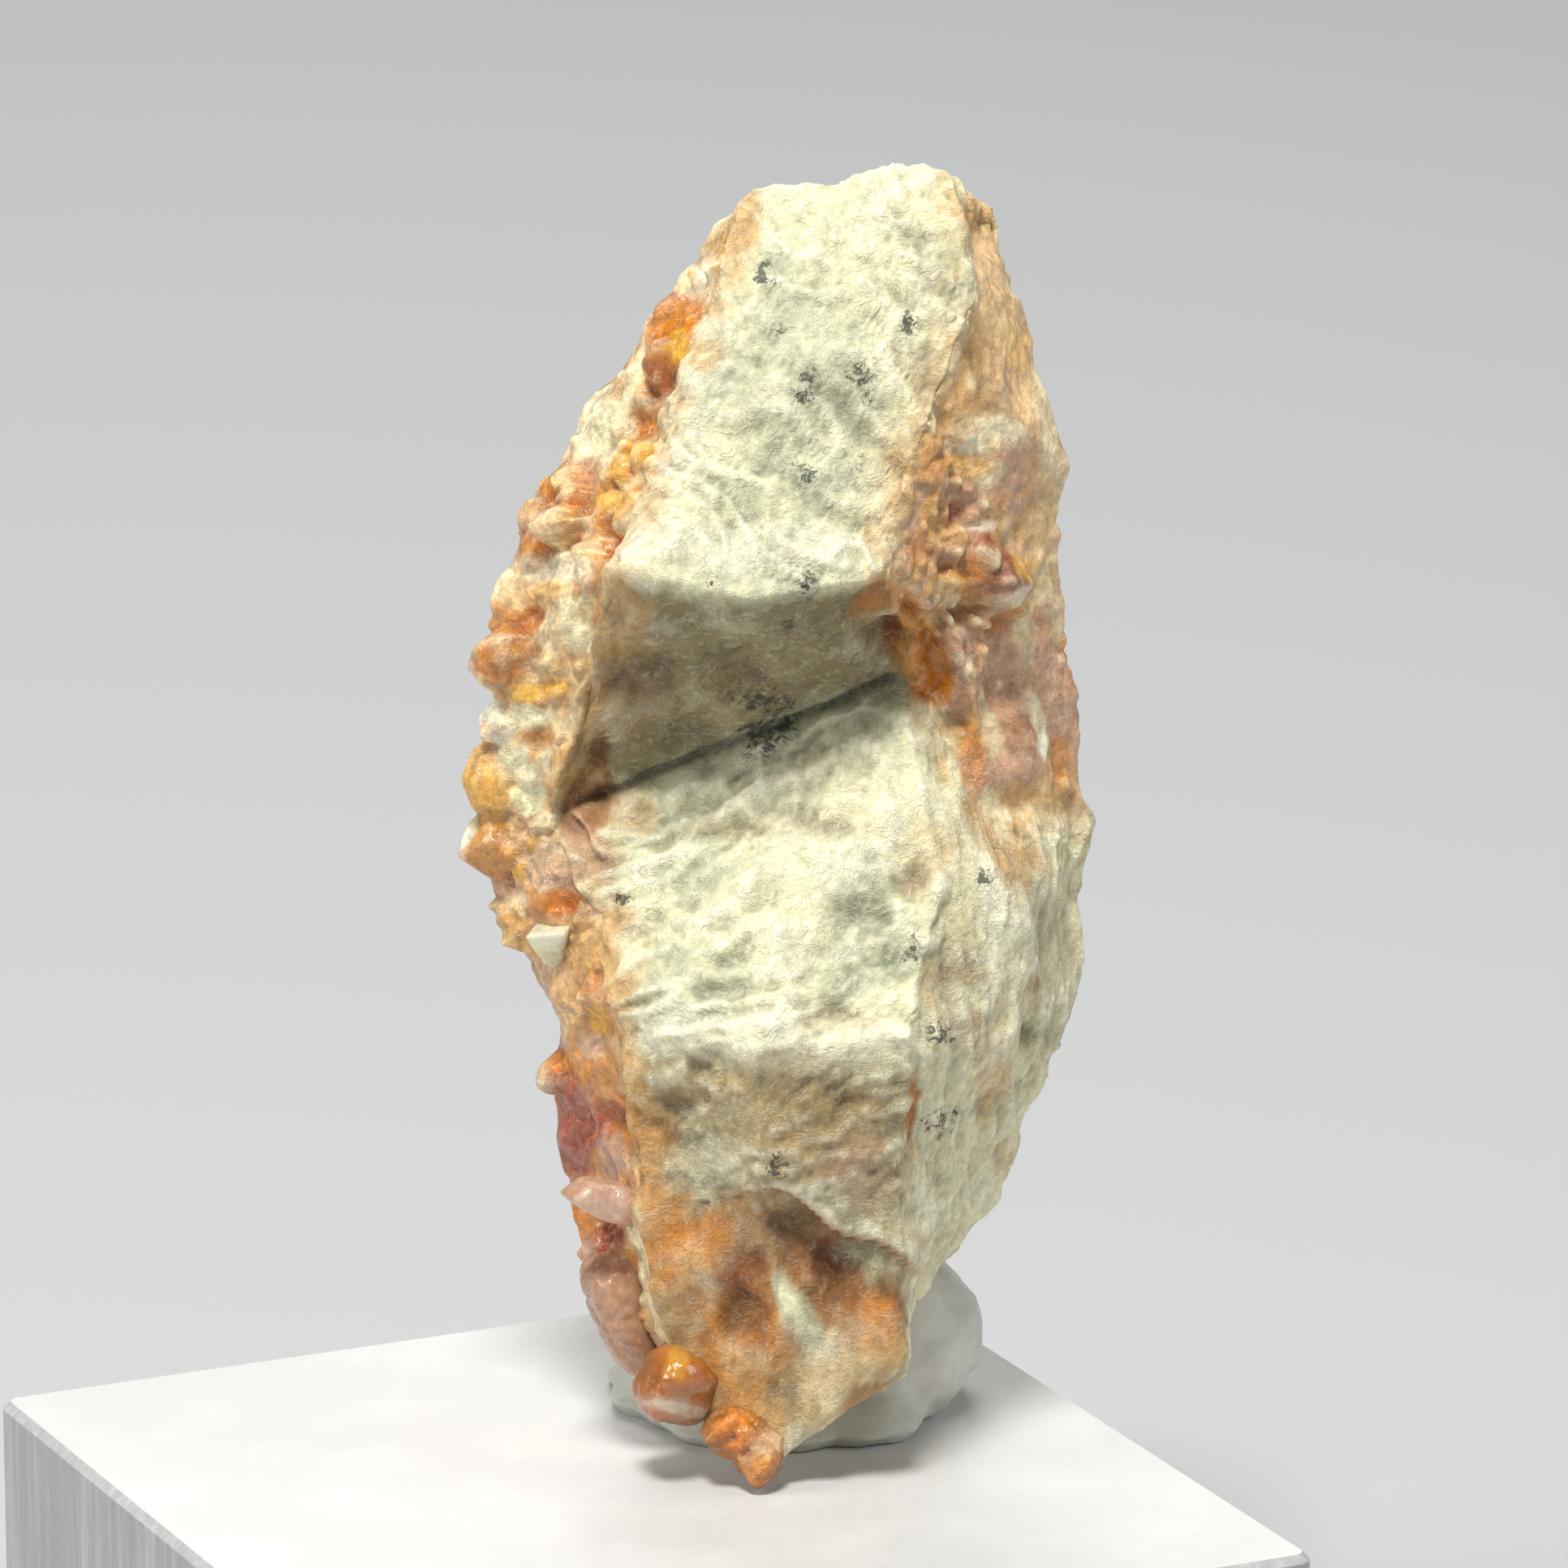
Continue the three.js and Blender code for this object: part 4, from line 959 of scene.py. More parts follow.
def left_crust() -> GarnetCrust:
    """The long crust down the left side: tan, pink, white and orange grains and lumps."""
    return GarnetCrust(
        name="left_garnet_crust",
        node="garnet_crust_left",
        skin=Skin.CRUST,
        rings=(0.25, 7.75),
        start=(7.5, 7.45, 7.4, 7.4, 7.4, 7.45, 7.5, 7.55, 7.6),
        stop=(10.1, 10.08, 10.05, 10.02, 10.0, 10.03, 10.05, 10.08, 10.1),
        beds=(
            Bed(90, (0.8, 1.6), 0.76, (Tone.TAN, Tone.SHELL, Tone.TAN, Tone.AMBER, Tone.SHELL)),
            Bed(300, (0.35, 0.8), 0.68, (Tone.TAN, Tone.SHELL, Tone.SHELL, Tone.AMBER, Tone.YELLOW_ORANGE)),
            Bed(560, (0.15, 0.4), 0.4, (Tone.TAN, Tone.SHELL, Tone.PINK, Tone.YELLOW_ORANGE, Tone.AMBER)),
        ),
        colour_patches=colour_patches(
            (-6.6, 9.2, 1.9, 6.5, Tone.AMBER, 0.6), (-6.8, 15.6, 1.4, 2.2, Tone.PINK, 0.5),
            (-7.4, 14.6, 0.5, 0.8, Tone.ROSE, 0.7), (-6.3, 14.9, 0.4, 0.6, Tone.DEEP_ORANGE, 0.7),
            (-6.9, 13.3, 0.3, 0.7, Tone.SHELL, 0.7, 20), (-7.2, 16.4, 0.4, 0.4, Tone.DEEP_ORANGE, 0.6),
            (-6.4, 16.3, 0.4, 0.3, Tone.SHELL, 0.6, -20), (-6.1, 12.4, 0.3, 0.8, Tone.ROSE, 0.6, -15),
            (-1.7, 38.4, 0.9, 1.4, Tone.TAN, 0.85, 20), (-2.7, 37.3, 0.4, 0.9, Tone.WHITE, 0.6, 25),
            (-3.5, 35.4, 1.1, 1.4, Tone.DEEP_ORANGE, 1.0, 10),
            (-3.2, 34.9, 0.35, 0.6, Tone.YELLOW_ORANGE, 1.0), (-3.7, 36.1, 0.4, 0.4, Tone.AMBER, 0.9),
            (-4.0, 34.1, 0.6, 0.4, Tone.RED_BROWN, 0.6), (-4.9, 34.8, 0.5, 1.3, Tone.SHELL, 0.85, 25),
            (-6.0, 32.8, 0.8, 1.2, Tone.SHELL, 0.8, 35), (-4.0, 33.5, 0.5, 0.3, Tone.PINK, 0.7),
            (-4.9, 32.7, 0.3, 0.5, Tone.DEEP_ORANGE, 0.75),
            (-4.8, 31.8, 0.6, 0.4, Tone.YELLOW_ORANGE, 0.85), (-6.1, 32.4, 0.8, 1.0, Tone.CREAM, 0.65, 30),
            (-6.6, 31.2, 0.6, 0.5, Tone.PINK, 0.6), (-7.2, 30.6, 0.75, 0.75, Tone.DEEP_ORANGE, 1.0),
            (-7.3, 30.7, 0.3, 0.3, Tone.YELLOW_ORANGE, 0.9),
            (-5.9, 30.4, 0.7, 0.5, Tone.YELLOW_ORANGE, 0.6), (-7.8, 29.3, 1.2, 0.7, Tone.PINK, 0.75),
            (-8.5, 30.0, 0.5, 0.6, Tone.TAN, 0.8), (-5.9, 28.8, 0.5, 0.4, Tone.DEEP_ORANGE, 0.9),
            (-5.8, 27.9, 0.4, 0.6, Tone.TAN, 0.9), (-7.4, 28.0, 1.1, 0.6, Tone.WHITE, 0.6),
            (-6.9, 26.1, 0.6, 1.0, Tone.CREAM, 0.75), (-8.0, 27.1, 0.9, 0.6, Tone.TAN, 0.7),
            (-9.3, 26.2, 0.7, 0.6, Tone.AMBER, 0.8), (-8.3, 26.3, 0.3, 0.5, Tone.DEEP_ORANGE, 0.7),
            (-9.6, 24.1, 0.6, 0.9, Tone.WHITE, 0.85), (-7.9, 24.0, 0.9, 0.3, Tone.YELLOW_ORANGE, 0.85, -10),
            (-8.3, 23.1, 0.7, 0.4, Tone.CREAM, 0.8), (-8.1, 22.5, 0.5, 0.3, Tone.AMBER, 0.85),
            (-9.3, 22.8, 0.5, 0.3, Tone.PINK, 0.7), (-10.1, 21.9, 0.4, 0.6, Tone.WHITE, 0.75),
            (-8.5, 21.3, 0.5, 1.2, Tone.CREAM, 0.8, -15), (-9.5, 20.8, 0.9, 0.9, Tone.YELLOW_ORANGE, 0.6),
            (-10.0, 19.1, 0.4, 0.8, Tone.WHITE, 0.85), (-9.0, 18.9, 0.6, 1.3, Tone.AMBER, 0.6),
            (-9.3, 17.5, 0.9, 0.5, Tone.PINK, 0.7), (-7.6, 18.3, 0.9, 0.6, Tone.MAUVE, 0.7),
            (-7.0, 17.8, 0.6, 0.3, Tone.PINK, 0.7), (-7.2, 17.1, 0.6, 0.4, Tone.DEEP_ORANGE, 0.95),
            (-6.8, 15.8, 0.8, 0.9, Tone.TAN, 0.85), (-7.2, 14.0, 0.9, 1.2, Tone.TAN, 0.7),
            (-6.0, 13.4, 0.3, 0.5, Tone.YELLOW_ORANGE, 0.8), (-7.6, 12.7, 0.3, 0.5, Tone.GARNET_RED, 0.95),
            (-7.1, 12.2, 0.3, 0.5, Tone.DEEP_ORANGE, 0.8), (-7.2, 11.4, 0.5, 0.3, Tone.WHITE, 0.6),
            (-6.0, 11.7, 0.7, 0.7, Tone.AMBER, 0.75), (-5.3, 10.2, 0.5, 1.1, Tone.AMBER, 0.6),
            (-6.3, 10.8, 0.4, 0.5, Tone.TAN, 0.9), (-6.7, 9.8, 0.8, 1.7, Tone.GARNET_RED, 0.9),
            (-5.7, 8.8, 0.5, 0.7, Tone.PINK, 0.85), (-5.0, 7.7, 0.5, 0.7, Tone.PINK, 0.6),
            (-7.0, 6.7, 0.5, 1.2, Tone.DEEP_ORANGE, 0.95), (-7.2, 6.4, 0.3, 0.5, Tone.RED_BROWN, 0.7),
            (-5.8, 6.4, 0.4, 0.7, Tone.GARNET_RED, 0.85), (-5.6, 5.2, 0.3, 0.5, Tone.DEEP_ORANGE, 0.9),
            (-6.4, 5.3, 0.5, 0.9, Tone.PINK, 0.85), (-5.4, 4.1, 0.3, 1.0, Tone.CREAM, 0.6, -20),
        ),
        pits=pits(
            (-4.0, 34.2, 0.6, 0.45), (-3.4, 35.6, 0.9, -0.3), (-7.2, 30.6, 0.6, -0.3),
            (-7.2, 17.1, 0.6, 0.6), (-5.9, 28.8, 0.5, 0.5), (-8.3, 26.4, 0.4, 0.3), (-4.9, 32.8, 0.4, 0.4),
            (-5.4, 10.3, 0.6, 0.4), (-6.7, 9.3, 0.7, -0.2), (-8.6, 23.9, 0.6, -0.2),
        ),
        knobs=(
            (-8.7, -1.2, 25.7, 1.15, Tone.AMBER), (-8.9, -1, 23.7, 1.15, Tone.WHITE),
            (-9.2, -0.8, 21.7, 1.2, Tone.TAN), (-9.1, -0.6, 19.5, 1.3, Tone.TAN),
            (-7.1, -2.2, 30.4, 0.9, Tone.YELLOW_ORANGE), (-3.6, -1.3, 35.3, 1.25, Tone.DEEP_ORANGE),
            (-7.9, -0.3, 30.3, 0.8, Tone.TAN), (-8.5, -0.5, 27.9, 1.0, Tone.SHELL),
            (-7.1, -1.8, 12.2, 1.0, Tone.GARNET_RED),
        ),
        bed_tones=(Tone.TAN, Tone.SHELL, Tone.AMBER),
        seed=5,
    )


def right_crust() -> GarnetCrust:
    """The broken garnet on the upper right: tan at the top, brown and pink below, orange in its hollow."""
    return GarnetCrust(
        name="right_garnet_crust",
        node="garnet_crust_right",
        skin=Skin.PALE_CRUST,
        rings=(3.1, 7.97),
        start=(3.65, 3.0, 2.92, 2.92, 2.92),
        stop=(5.4, 5.55, 5.6, 5.6, 5.6),
        beds=(
            Bed(34, (0.8, 1.7), 0.92, (Tone.PINK, Tone.TAN, Tone.MAUVE), (0.02, 0.8)),
            Bed(90, (0.35, 0.8), 0.74, (Tone.MAUVE, Tone.TAN, Tone.AMBER, Tone.TAN), (0.25, 0.66)),
            Bed(160, (0.15, 0.35), 0.5, (Tone.TAN, Tone.SHELL, Tone.PINK, Tone.AMBER), (0.25, 0.66)),
        ),
        colour_patches=colour_patches(
            (7.2, 37.0, 1.4, 3.4, Tone.HONEY, 1.0, -14), (7.9, 34.2, 1.1, 2.0, Tone.HONEY, 1.0, -8),
            (7.8, 35.0, 0.5, 0.9, Tone.YELLOW_ORANGE, 0.3), (8.4, 32.9, 0.5, 1.8, Tone.SHELL, 0.7),
            (6.6, 34.0, 0.6, 1.3, Tone.BROWN, 0.6), (5.6, 33.2, 0.7, 1.0, Tone.TAN, 0.6),
            (6.7, 32.3, 1.0, 0.7, Tone.SHELL, 0.6, 15), (6.9, 32.5, 0.6, 0.4, Tone.CREAM, 0.55, 25),
            (6.2, 31.9, 0.3, 0.3, Tone.WHITE, 0.6, -20), (8.7, 30.0, 0.5, 3.2, Tone.SHELL, 0.7, -4),
            (4.8, 31.3, 0.5, 0.6, Tone.AMBER, 0.6), (6.1, 31.2, 0.9, 0.4, Tone.YELLOW_ORANGE, 0.5),
            (6.0, 30.4, 0.6, 0.5, Tone.MAUVE, 0.8), (5.7, 29.7, 0.4, 0.3, Tone.GARNET_RED, 0.9),
            (6.4, 29.3, 0.5, 0.2, Tone.WHITE, 0.5), (6.4, 28.7, 0.4, 0.5, Tone.GARNET_RED, 0.9),
            (5.2, 29.3, 0.5, 0.9, Tone.TAN, 0.8), (5.9, 28.0, 0.5, 0.5, Tone.AMBER, 0.8),
            (4.6, 28.6, 0.6, 0.5, Tone.AMBER, 0.5), (7.4, 28.0, 0.6, 0.4, Tone.YELLOW_ORANGE, 0.9),
            (7.0, 26.1, 0.5, 0.3, Tone.AMBER, 0.85), (7.2, 27.1, 0.5, 0.4, Tone.WHITE, 0.6),
            (8.2, 29.5, 0.6, 1.6, Tone.TAN, 0.6), (3.7, 26.9, 0.7, 0.6, Tone.AMBER, 0.85),
            (4.8, 24.5, 0.8, 0.9, Tone.DEEP_ORANGE, 1.0), (4.2, 25.7, 0.5, 0.8, Tone.AMBER, 0.95),
            (5.6, 26.8, 0.5, 0.4, Tone.CREAM, 0.5), (5.9, 25.6, 0.4, 0.5, Tone.PINK, 0.8),
            (7.3, 24.0, 0.7, 1.6, Tone.MAUVE, 0.6, -12), (8.5, 24.0, 0.4, 1.6, Tone.PINK, 0.7),
            (7.6, 22.6, 0.4, 0.8, Tone.RUST, 0.5), (7.9, 25.6, 0.25, 1.2, Tone.SHELL, 0.7, -10),
            (6.8, 23.2, 0.25, 1.4, Tone.SHELL, 0.7, -8), (8.2, 23.0, 0.2, 1.3, Tone.CREAM, 0.6, -6),
            (6.1, 21.7, 0.5, 1.6, Tone.AMBER, 0.6), (6.3, 20.1, 0.4, 0.8, Tone.TAN, 0.8),
            (9.0, 21.9, 0.3, 0.6, Tone.AMBER, 0.8), (8.3, 22.2, 0.3, 0.4, Tone.WHITE, 0.7),
            (5.1, 21.2, 0.6, 0.7, Tone.CREAM, 0.6), (6.8, 20.4, 0.4, 0.5, Tone.CREAM, 0.5),
        ),
        pits=pits(
            (4.8, 24.5, 0.9, 0.5), (4.1, 26.4, 0.6, 0.5), (5.8, 29.9, 0.5, 0.3), (6.5, 28.7, 0.6, -0.25),
            (5.9, 26.6, 0.5, 0.3), (7.2, 24.0, 0.7, 0.35),
        ),
        knobs=((5.9, -2.4, 29.5, 1.1, Tone.MAUVE), (6.6, -1.9, 28.5, 1.15, Tone.RED_BROWN),
               (5.3, -2.9, 28.4, 0.8, Tone.AMBER), (7.3, -0.9, 27.6, 0.7, Tone.YELLOW_ORANGE)),
        bed_tones=(Tone.TAN, Tone.PINK, Tone.SHELL),
        seed=17,
        stand=-0.15,
        streaks=0.07,
        slope=1.3,
        shade=0.45,
        across=150,
        up=300,
    )


@dataclass(frozen=True)
class Lobe:
    """One worn crystal: its centre, half sizes, turns in degrees and face directions."""

    at: tuple[float, float, float]
    half: tuple[float, float, float]
    turn: tuple[float, float, float]
    faces: tuple[tuple[float, float, float], ...]
    sharp: float

    def level(self, p: np.ndarray) -> np.ndarray:
        """Below 1 inside the crystal and above 1 outside it.

        It is (sum over faces of max(k.q, 0)^sharp)^(1/sharp), where q is the point in the crystal's
        own turned frame, divided by the half sizes, and the face directions k are divided by their
        distances from the centre.

        Args:
            p: Points in the stone's frame.

        Returns:
            One value for each point.
        """
        faces = np.array(self.faces)
        k = faces / (faces**2).sum(axis=1, keepdims=True)
        q = ((p - np.array(self.at)) @ rotation(*self.turn)) / np.array(self.half)
        return (np.maximum(q @ k.T, 0) ** self.sharp).sum(axis=-1) ** (1 / self.sharp)


@dataclass
class WornCrystals:
    """A crystal, or a few grown together, with slightly worn edges, as one closed mesh.

    Along each direction from the middle, the surface lies where the sum of exp(-join (level - 1))
    over the lobes passes 1. The place is found by halving a span for all directions at once.
    """

    name: str
    node: str
    skin: "Skin"
    lobes: tuple[Lobe, ...]
    tint: Tone
    rim: Tone
    colour_patches: tuple[ColourPatch, ...] = ()
    pits: tuple[Pit, ...] = ()
    rough: float = 0.04
    join: float = 9.0
    columns: int = 130
    rows: int = 90
    reach: float = 4.0
    halvings: int = 24

    def build(self) -> bpy.types.Object:
        """Builds the piece, coloured from tint to rim by noise, and towards the rim where it turns away from
        the front view, as painted shade at its outline.
        """
        around = np.linspace(0, 2 * math.pi, self.columns, endpoint=False)
        up = np.linspace(-math.pi / 2 + 0.01, math.pi / 2 - 0.01, self.rows)
        a, b = np.meshgrid(around, up)
        way = np.stack([np.cos(b) * np.cos(a), np.cos(b) * np.sin(a), np.sin(b)], axis=-1)
        middle = np.mean([lobe.at for lobe in self.lobes], axis=0)
        near, far = np.zeros(a.shape), np.full(a.shape, self.reach)
        for _ in range(self.halvings):
            half = (near + far) / 2
            p = middle + way * half[..., None]
            within = np.sum([np.exp(-self.join * (lobe.level(p) - 1)) for lobe in self.lobes], axis=0) > 1
            near, far = np.where(within, half, near), np.where(within, far, half)
        p = middle + way * near[..., None]
        bump = self.rough * fractal(p * 1.6 + 7, 4)
        right, high = front_view(p)
        for pit in self.pits:
            bump -= pit.drop(right, high, bump)
        c = mix(self.tint.rgb, self.rim.rgb, ramp(fractal(p / 0.8, 4, 4.0), -0.3, 0.6))
        # Painted shade: the colour turns to the darker rim where the surface turns away from the front view.
        c = mix(c, self.rim.rgb, 0.8 * (1 - ramp(way @ TO_EYE, 0.25, 0.75)))
        c = patched(c, p, way, self.colour_patches)
        return closed_surface(self.name, p + way * bump[..., None], c)


def rotation(x: float, y: float, z: float) -> np.ndarray:
    """The matrix Rx Ry Rz.

    Args:
        x: The turn about X, in degrees.
        y: The turn about Y, in degrees.
        z: The turn about Z, in degrees.

    Returns:
        The matrix.
    """
    a, b, c = (math.radians(t) for t in (x, y, z))
    rx = np.array([[1, 0, 0], [0, math.cos(a), -math.sin(a)], [0, math.sin(a), math.cos(a)]])
    ry = np.array([[math.cos(b), 0, math.sin(b)], [0, 1, 0], [-math.sin(b), 0, math.cos(b)]])
    rz = np.array([[math.cos(c), -math.sin(c), 0], [math.sin(c), math.cos(c), 0], [0, 0, 1]])
    return rx @ ry @ rz


class ShaderBoard:
    """A material's or group's nodes, laid out and linked by short calls."""

    def __init__(self, tree: bpy.types.NodeTree) -> None:
        """Starts on a node tree."""
        self.tree = tree

    def add(self, kind: str, **values: object) -> bpy.types.Node:
        """Adds a node.

        Args:
            kind: The node's Blender type.
            values: Properties, and input values by the input's name with spaces as underscores.

        Returns:
            The node.
        """
        node = self.tree.nodes.new(kind)
        node.location = (220 * (len(self.tree.nodes) % 9), -260 * (len(self.tree.nodes) // 9))
        for key, value in values.items():
            if hasattr(node, key):
                setattr(node, key, value)
            else:
                node.inputs[key.replace("_", " ")].default_value = value
        return node

    def link(self, source: bpy.types.NodeSocket, target: bpy.types.NodeSocket) -> None:
        """Links an output to an input."""
        self.tree.links.new(source, target)

    def feed(self, node: bpy.types.Node, terms: tuple) -> bpy.types.Node:
        """Gives a node's first inputs their values or links.

        Args:
            node: The node.
            terms: Numbers, triples or outputs, in the order of the inputs.

        Returns:
            The same node.
        """
        for socket, term in zip(node.inputs, terms):
            if isinstance(term, bpy.types.NodeSocket):
                self.link(term, socket)
            else:
                socket.default_value = term
        return node

    def maths(self, operation: str, *terms: object) -> bpy.types.NodeSocket:
        """The output of a Math node over numbers or outputs."""
        return self.feed(self.add("ShaderNodeMath", operation=operation), terms).outputs[0]

    def vector(self, operation: str, *terms: object) -> bpy.types.Node:
        """A Vector Math node over triples or outputs."""
        return self.feed(self.add("ShaderNodeVectorMath", operation=operation), terms)

    def noise(self, at: bpy.types.NodeSocket, **values: float) -> bpy.types.Node:
        """Adds a Noise Texture.

        Args:
            at: The coordinates that it reads.
            values: Its plain input values.

        Returns:
            The node.
        """
        node = self.add("ShaderNodeTexNoise", **values)
        self.link(at, node.inputs["Vector"])
        return node

    def step(self, value: bpy.types.NodeSocket, low: float, high: float,
             start: float = 0.0, end: float = 1.0) -> bpy.types.NodeSocket:
        """A smooth step.

        Args:
            value: The output that it reads.
            low: Where the step begins.
            high: Where it ends.
            start: Its value up to low.
            end: Its value from high on.

        Returns:
            Its output.
        """
        node = self.add("ShaderNodeMapRange", interpolation_type="SMOOTHSTEP")
        self.link(value, node.inputs["Value"])
        for name, number in (("From Min", low), ("From Max", high), ("To Min", start), ("To Max", end)):
            node.inputs[name].default_value = number
        return node.outputs["Result"]

    def blend(self, share: object, a: object, b: object, kind: str = "MIX") -> bpy.types.NodeSocket:
        """A mix of two colours.

        Args:
            share: How much of b there is, a number or an output.
            a: A linear colour or an output.
            b: A linear colour or an output.
            kind: The way of mixing.

        Returns:
            Its output.
        """
        node = self.add("ShaderNodeMix", data_type="RGBA", blend_type=kind)
        for socket, term in ((node.inputs[0], share), (node.inputs[6], a), (node.inputs[7], b)):
            if isinstance(term, bpy.types.NodeSocket):
                self.link(term, socket)
            else:
                socket.default_value = term if isinstance(term, (int, float)) else (*term, 1)
        return node.outputs[2]

    def emboss(self, skin: bpy.types.Node, height: bpy.types.NodeSocket, strength: float,
               depth: float) -> None:
        """Gives a shader's Normal a Bump.

        Args:
            skin: The shader.
            height: The output that it reads.
            strength: How strong it is, from 0 to 1.
            depth: How deep a height of 1 is, in metres.
        """
        bump = self.add("ShaderNodeBump", Strength=strength, Distance=depth)
        self.link(height, bump.inputs["Height"])
        self.link(bump.outputs[0], skin.inputs["Normal"])


def start_material(name: str, **values: object) -> tuple[bpy.types.Material, ShaderBoard, bpy.types.Node]:
    """A new material with a Principled shader on its output.

    Args:
        name: The material's name.
        values: The shader's plain values, by the input's name with spaces as underscores.

    Returns:
        The material, its board and the shader.
    """
    made = bpy.data.materials.new(name)
    made.use_nodes = True
    made.node_tree.nodes.clear()
    board = ShaderBoard(made.node_tree)
    out = board.add("ShaderNodeOutputMaterial")
    skin = board.add("ShaderNodeBsdfPrincipled", **values)
    board.link(skin.outputs[0], out.inputs[0])
    return made, board, skin


def millimetres(board: ShaderBoard, upright: float = 1) -> bpy.types.NodeSocket:
    """Object coordinates in millimetres.

    Args:
        board: The board that they are made on.
        upright: What Z is multiplied by on top.

    Returns:
        Their output.
    """
    place, scale = board.add("ShaderNodeTexCoord"), board.add("ShaderNodeMapping")
    scale.inputs["Scale"].default_value = (1 / MM, 1 / MM, upright / MM)
    board.link(place.outputs["Object"], scale.inputs["Vector"])
    return scale.outputs["Vector"]


def broken_group() -> bpy.types.NodeTree:
    """A group for broken mineral: tilted facets, grit, soft patches, thin pale threads and fibres.

    Facets are flat tilts inside each cell of a cell pattern. Threads lie where layered noise passes
    its middle value, and a coarser noise breaks them up. Fibres are the same on coordinates that are
    stretched level in some places and upright in others. All of it is in millimetres, on coordinates
    bent by smooth noise.
    """
    tree = bpy.data.node_groups.new("broken_mineral", "ShaderNodeTree")
    for name in ("Facets per mm", "Grains per mm", "Facet Height", "Grit Height"):
        tree.interface.new_socket(name, in_out="INPUT", socket_type="NodeSocketFloat")
    for name in ("Height", "Grit", "Cell", "Patches", "Threads", "Fibres"):
        tree.interface.new_socket(name, in_out="OUTPUT", socket_type="NodeSocketFloat")
    board = ShaderBoard(tree)
    given, out = board.add("NodeGroupInput"), board.add("NodeGroupOutput")
    at = millimetres(board)
    bend = board.noise(at, Scale=0.8, Detail=3.0)
    moved = board.vector("MULTIPLY_ADD", bend.outputs["Color"], (1.6, 1.6, 1.6), at).outputs[0]
    cells = board.add("ShaderNodeTexVoronoi", feature="F1")
    board.link(moved, cells.inputs["Vector"])
    board.link(given.outputs["Facets per mm"], cells.inputs["Scale"])
    grit = board.noise(at, Detail=4.0, Roughness=0.7)
    board.link(given.outputs["Grains per mm"], grit.inputs["Scale"])
    patches = board.noise(moved, Scale=0.6, Detail=3.0, Roughness=0.65)
    lines = board.noise(moved, Scale=0.95, Detail=4.0, Roughness=0.55)
    breaks = board.noise(at, Scale=1.5, Detail=1.5)
    away = board.maths("ABSOLUTE", board.maths("SUBTRACT", lines.outputs["Fac"], 0.5))
    thin = board.step(away, 0.003, 0.017, 1.0, 0.0)
    threads = board.maths("MULTIPLY", thin, board.step(breaks.outputs["Fac"], 0.46, 0.6))
    sets = []
    for stretch in ((0.3, 0.3, 1.0), (1.0, 1.0, 0.3)):
        hairs = board.noise(board.vector("MULTIPLY", moved, stretch).outputs[0],
                            Scale=2.6, Detail=3.0, Roughness=0.6)
        off = board.maths("ABSOLUTE", board.maths("SUBTRACT", hairs.outputs["Fac"], 0.5))
        sets.append(board.step(off, 0.004, 0.045, 1.0, 0.0))
    which = board.step(breaks.outputs["Fac"], 0.42, 0.58)
    level_share = board.maths("MULTIPLY", sets[0], board.maths("SUBTRACT", 1.0, which))
    fibres = board.maths("ADD", level_share, board.maths("MULTIPLY", sets[1], which))
    from_cell = board.vector("SUBTRACT", moved, cells.outputs["Position"]).outputs[0]
    tilt = board.vector("SUBTRACT", cells.outputs["Color"], (0.5, 0.5, 0.5)).outputs[0]
    slope = board.vector("DOT_PRODUCT", from_cell, tilt).outputs["Value"]
    facet = board.maths("MULTIPLY", slope, given.outputs["Facet Height"])
    rough = board.maths("MULTIPLY", grit.outputs["Fac"], given.outputs["Grit Height"])
    raised = board.maths("ADD", board.maths("MULTIPLY", threads, 0.12),
                         board.maths("MULTIPLY", fibres, 0.1))
    height = board.maths("ADD", board.maths("ADD", facet, rough), raised)
    cell = board.add("ShaderNodeSeparateColor")
    board.link(cells.outputs["Color"], cell.inputs["Color"])
    for name, source in (("Height", height), ("Grit", grit.outputs["Fac"]), ("Cell", cell.outputs[1]),
                         ("Patches", patches.outputs["Fac"]), ("Threads", threads), ("Fibres", fibres)):
        board.link(source, out.inputs[name])
    return tree


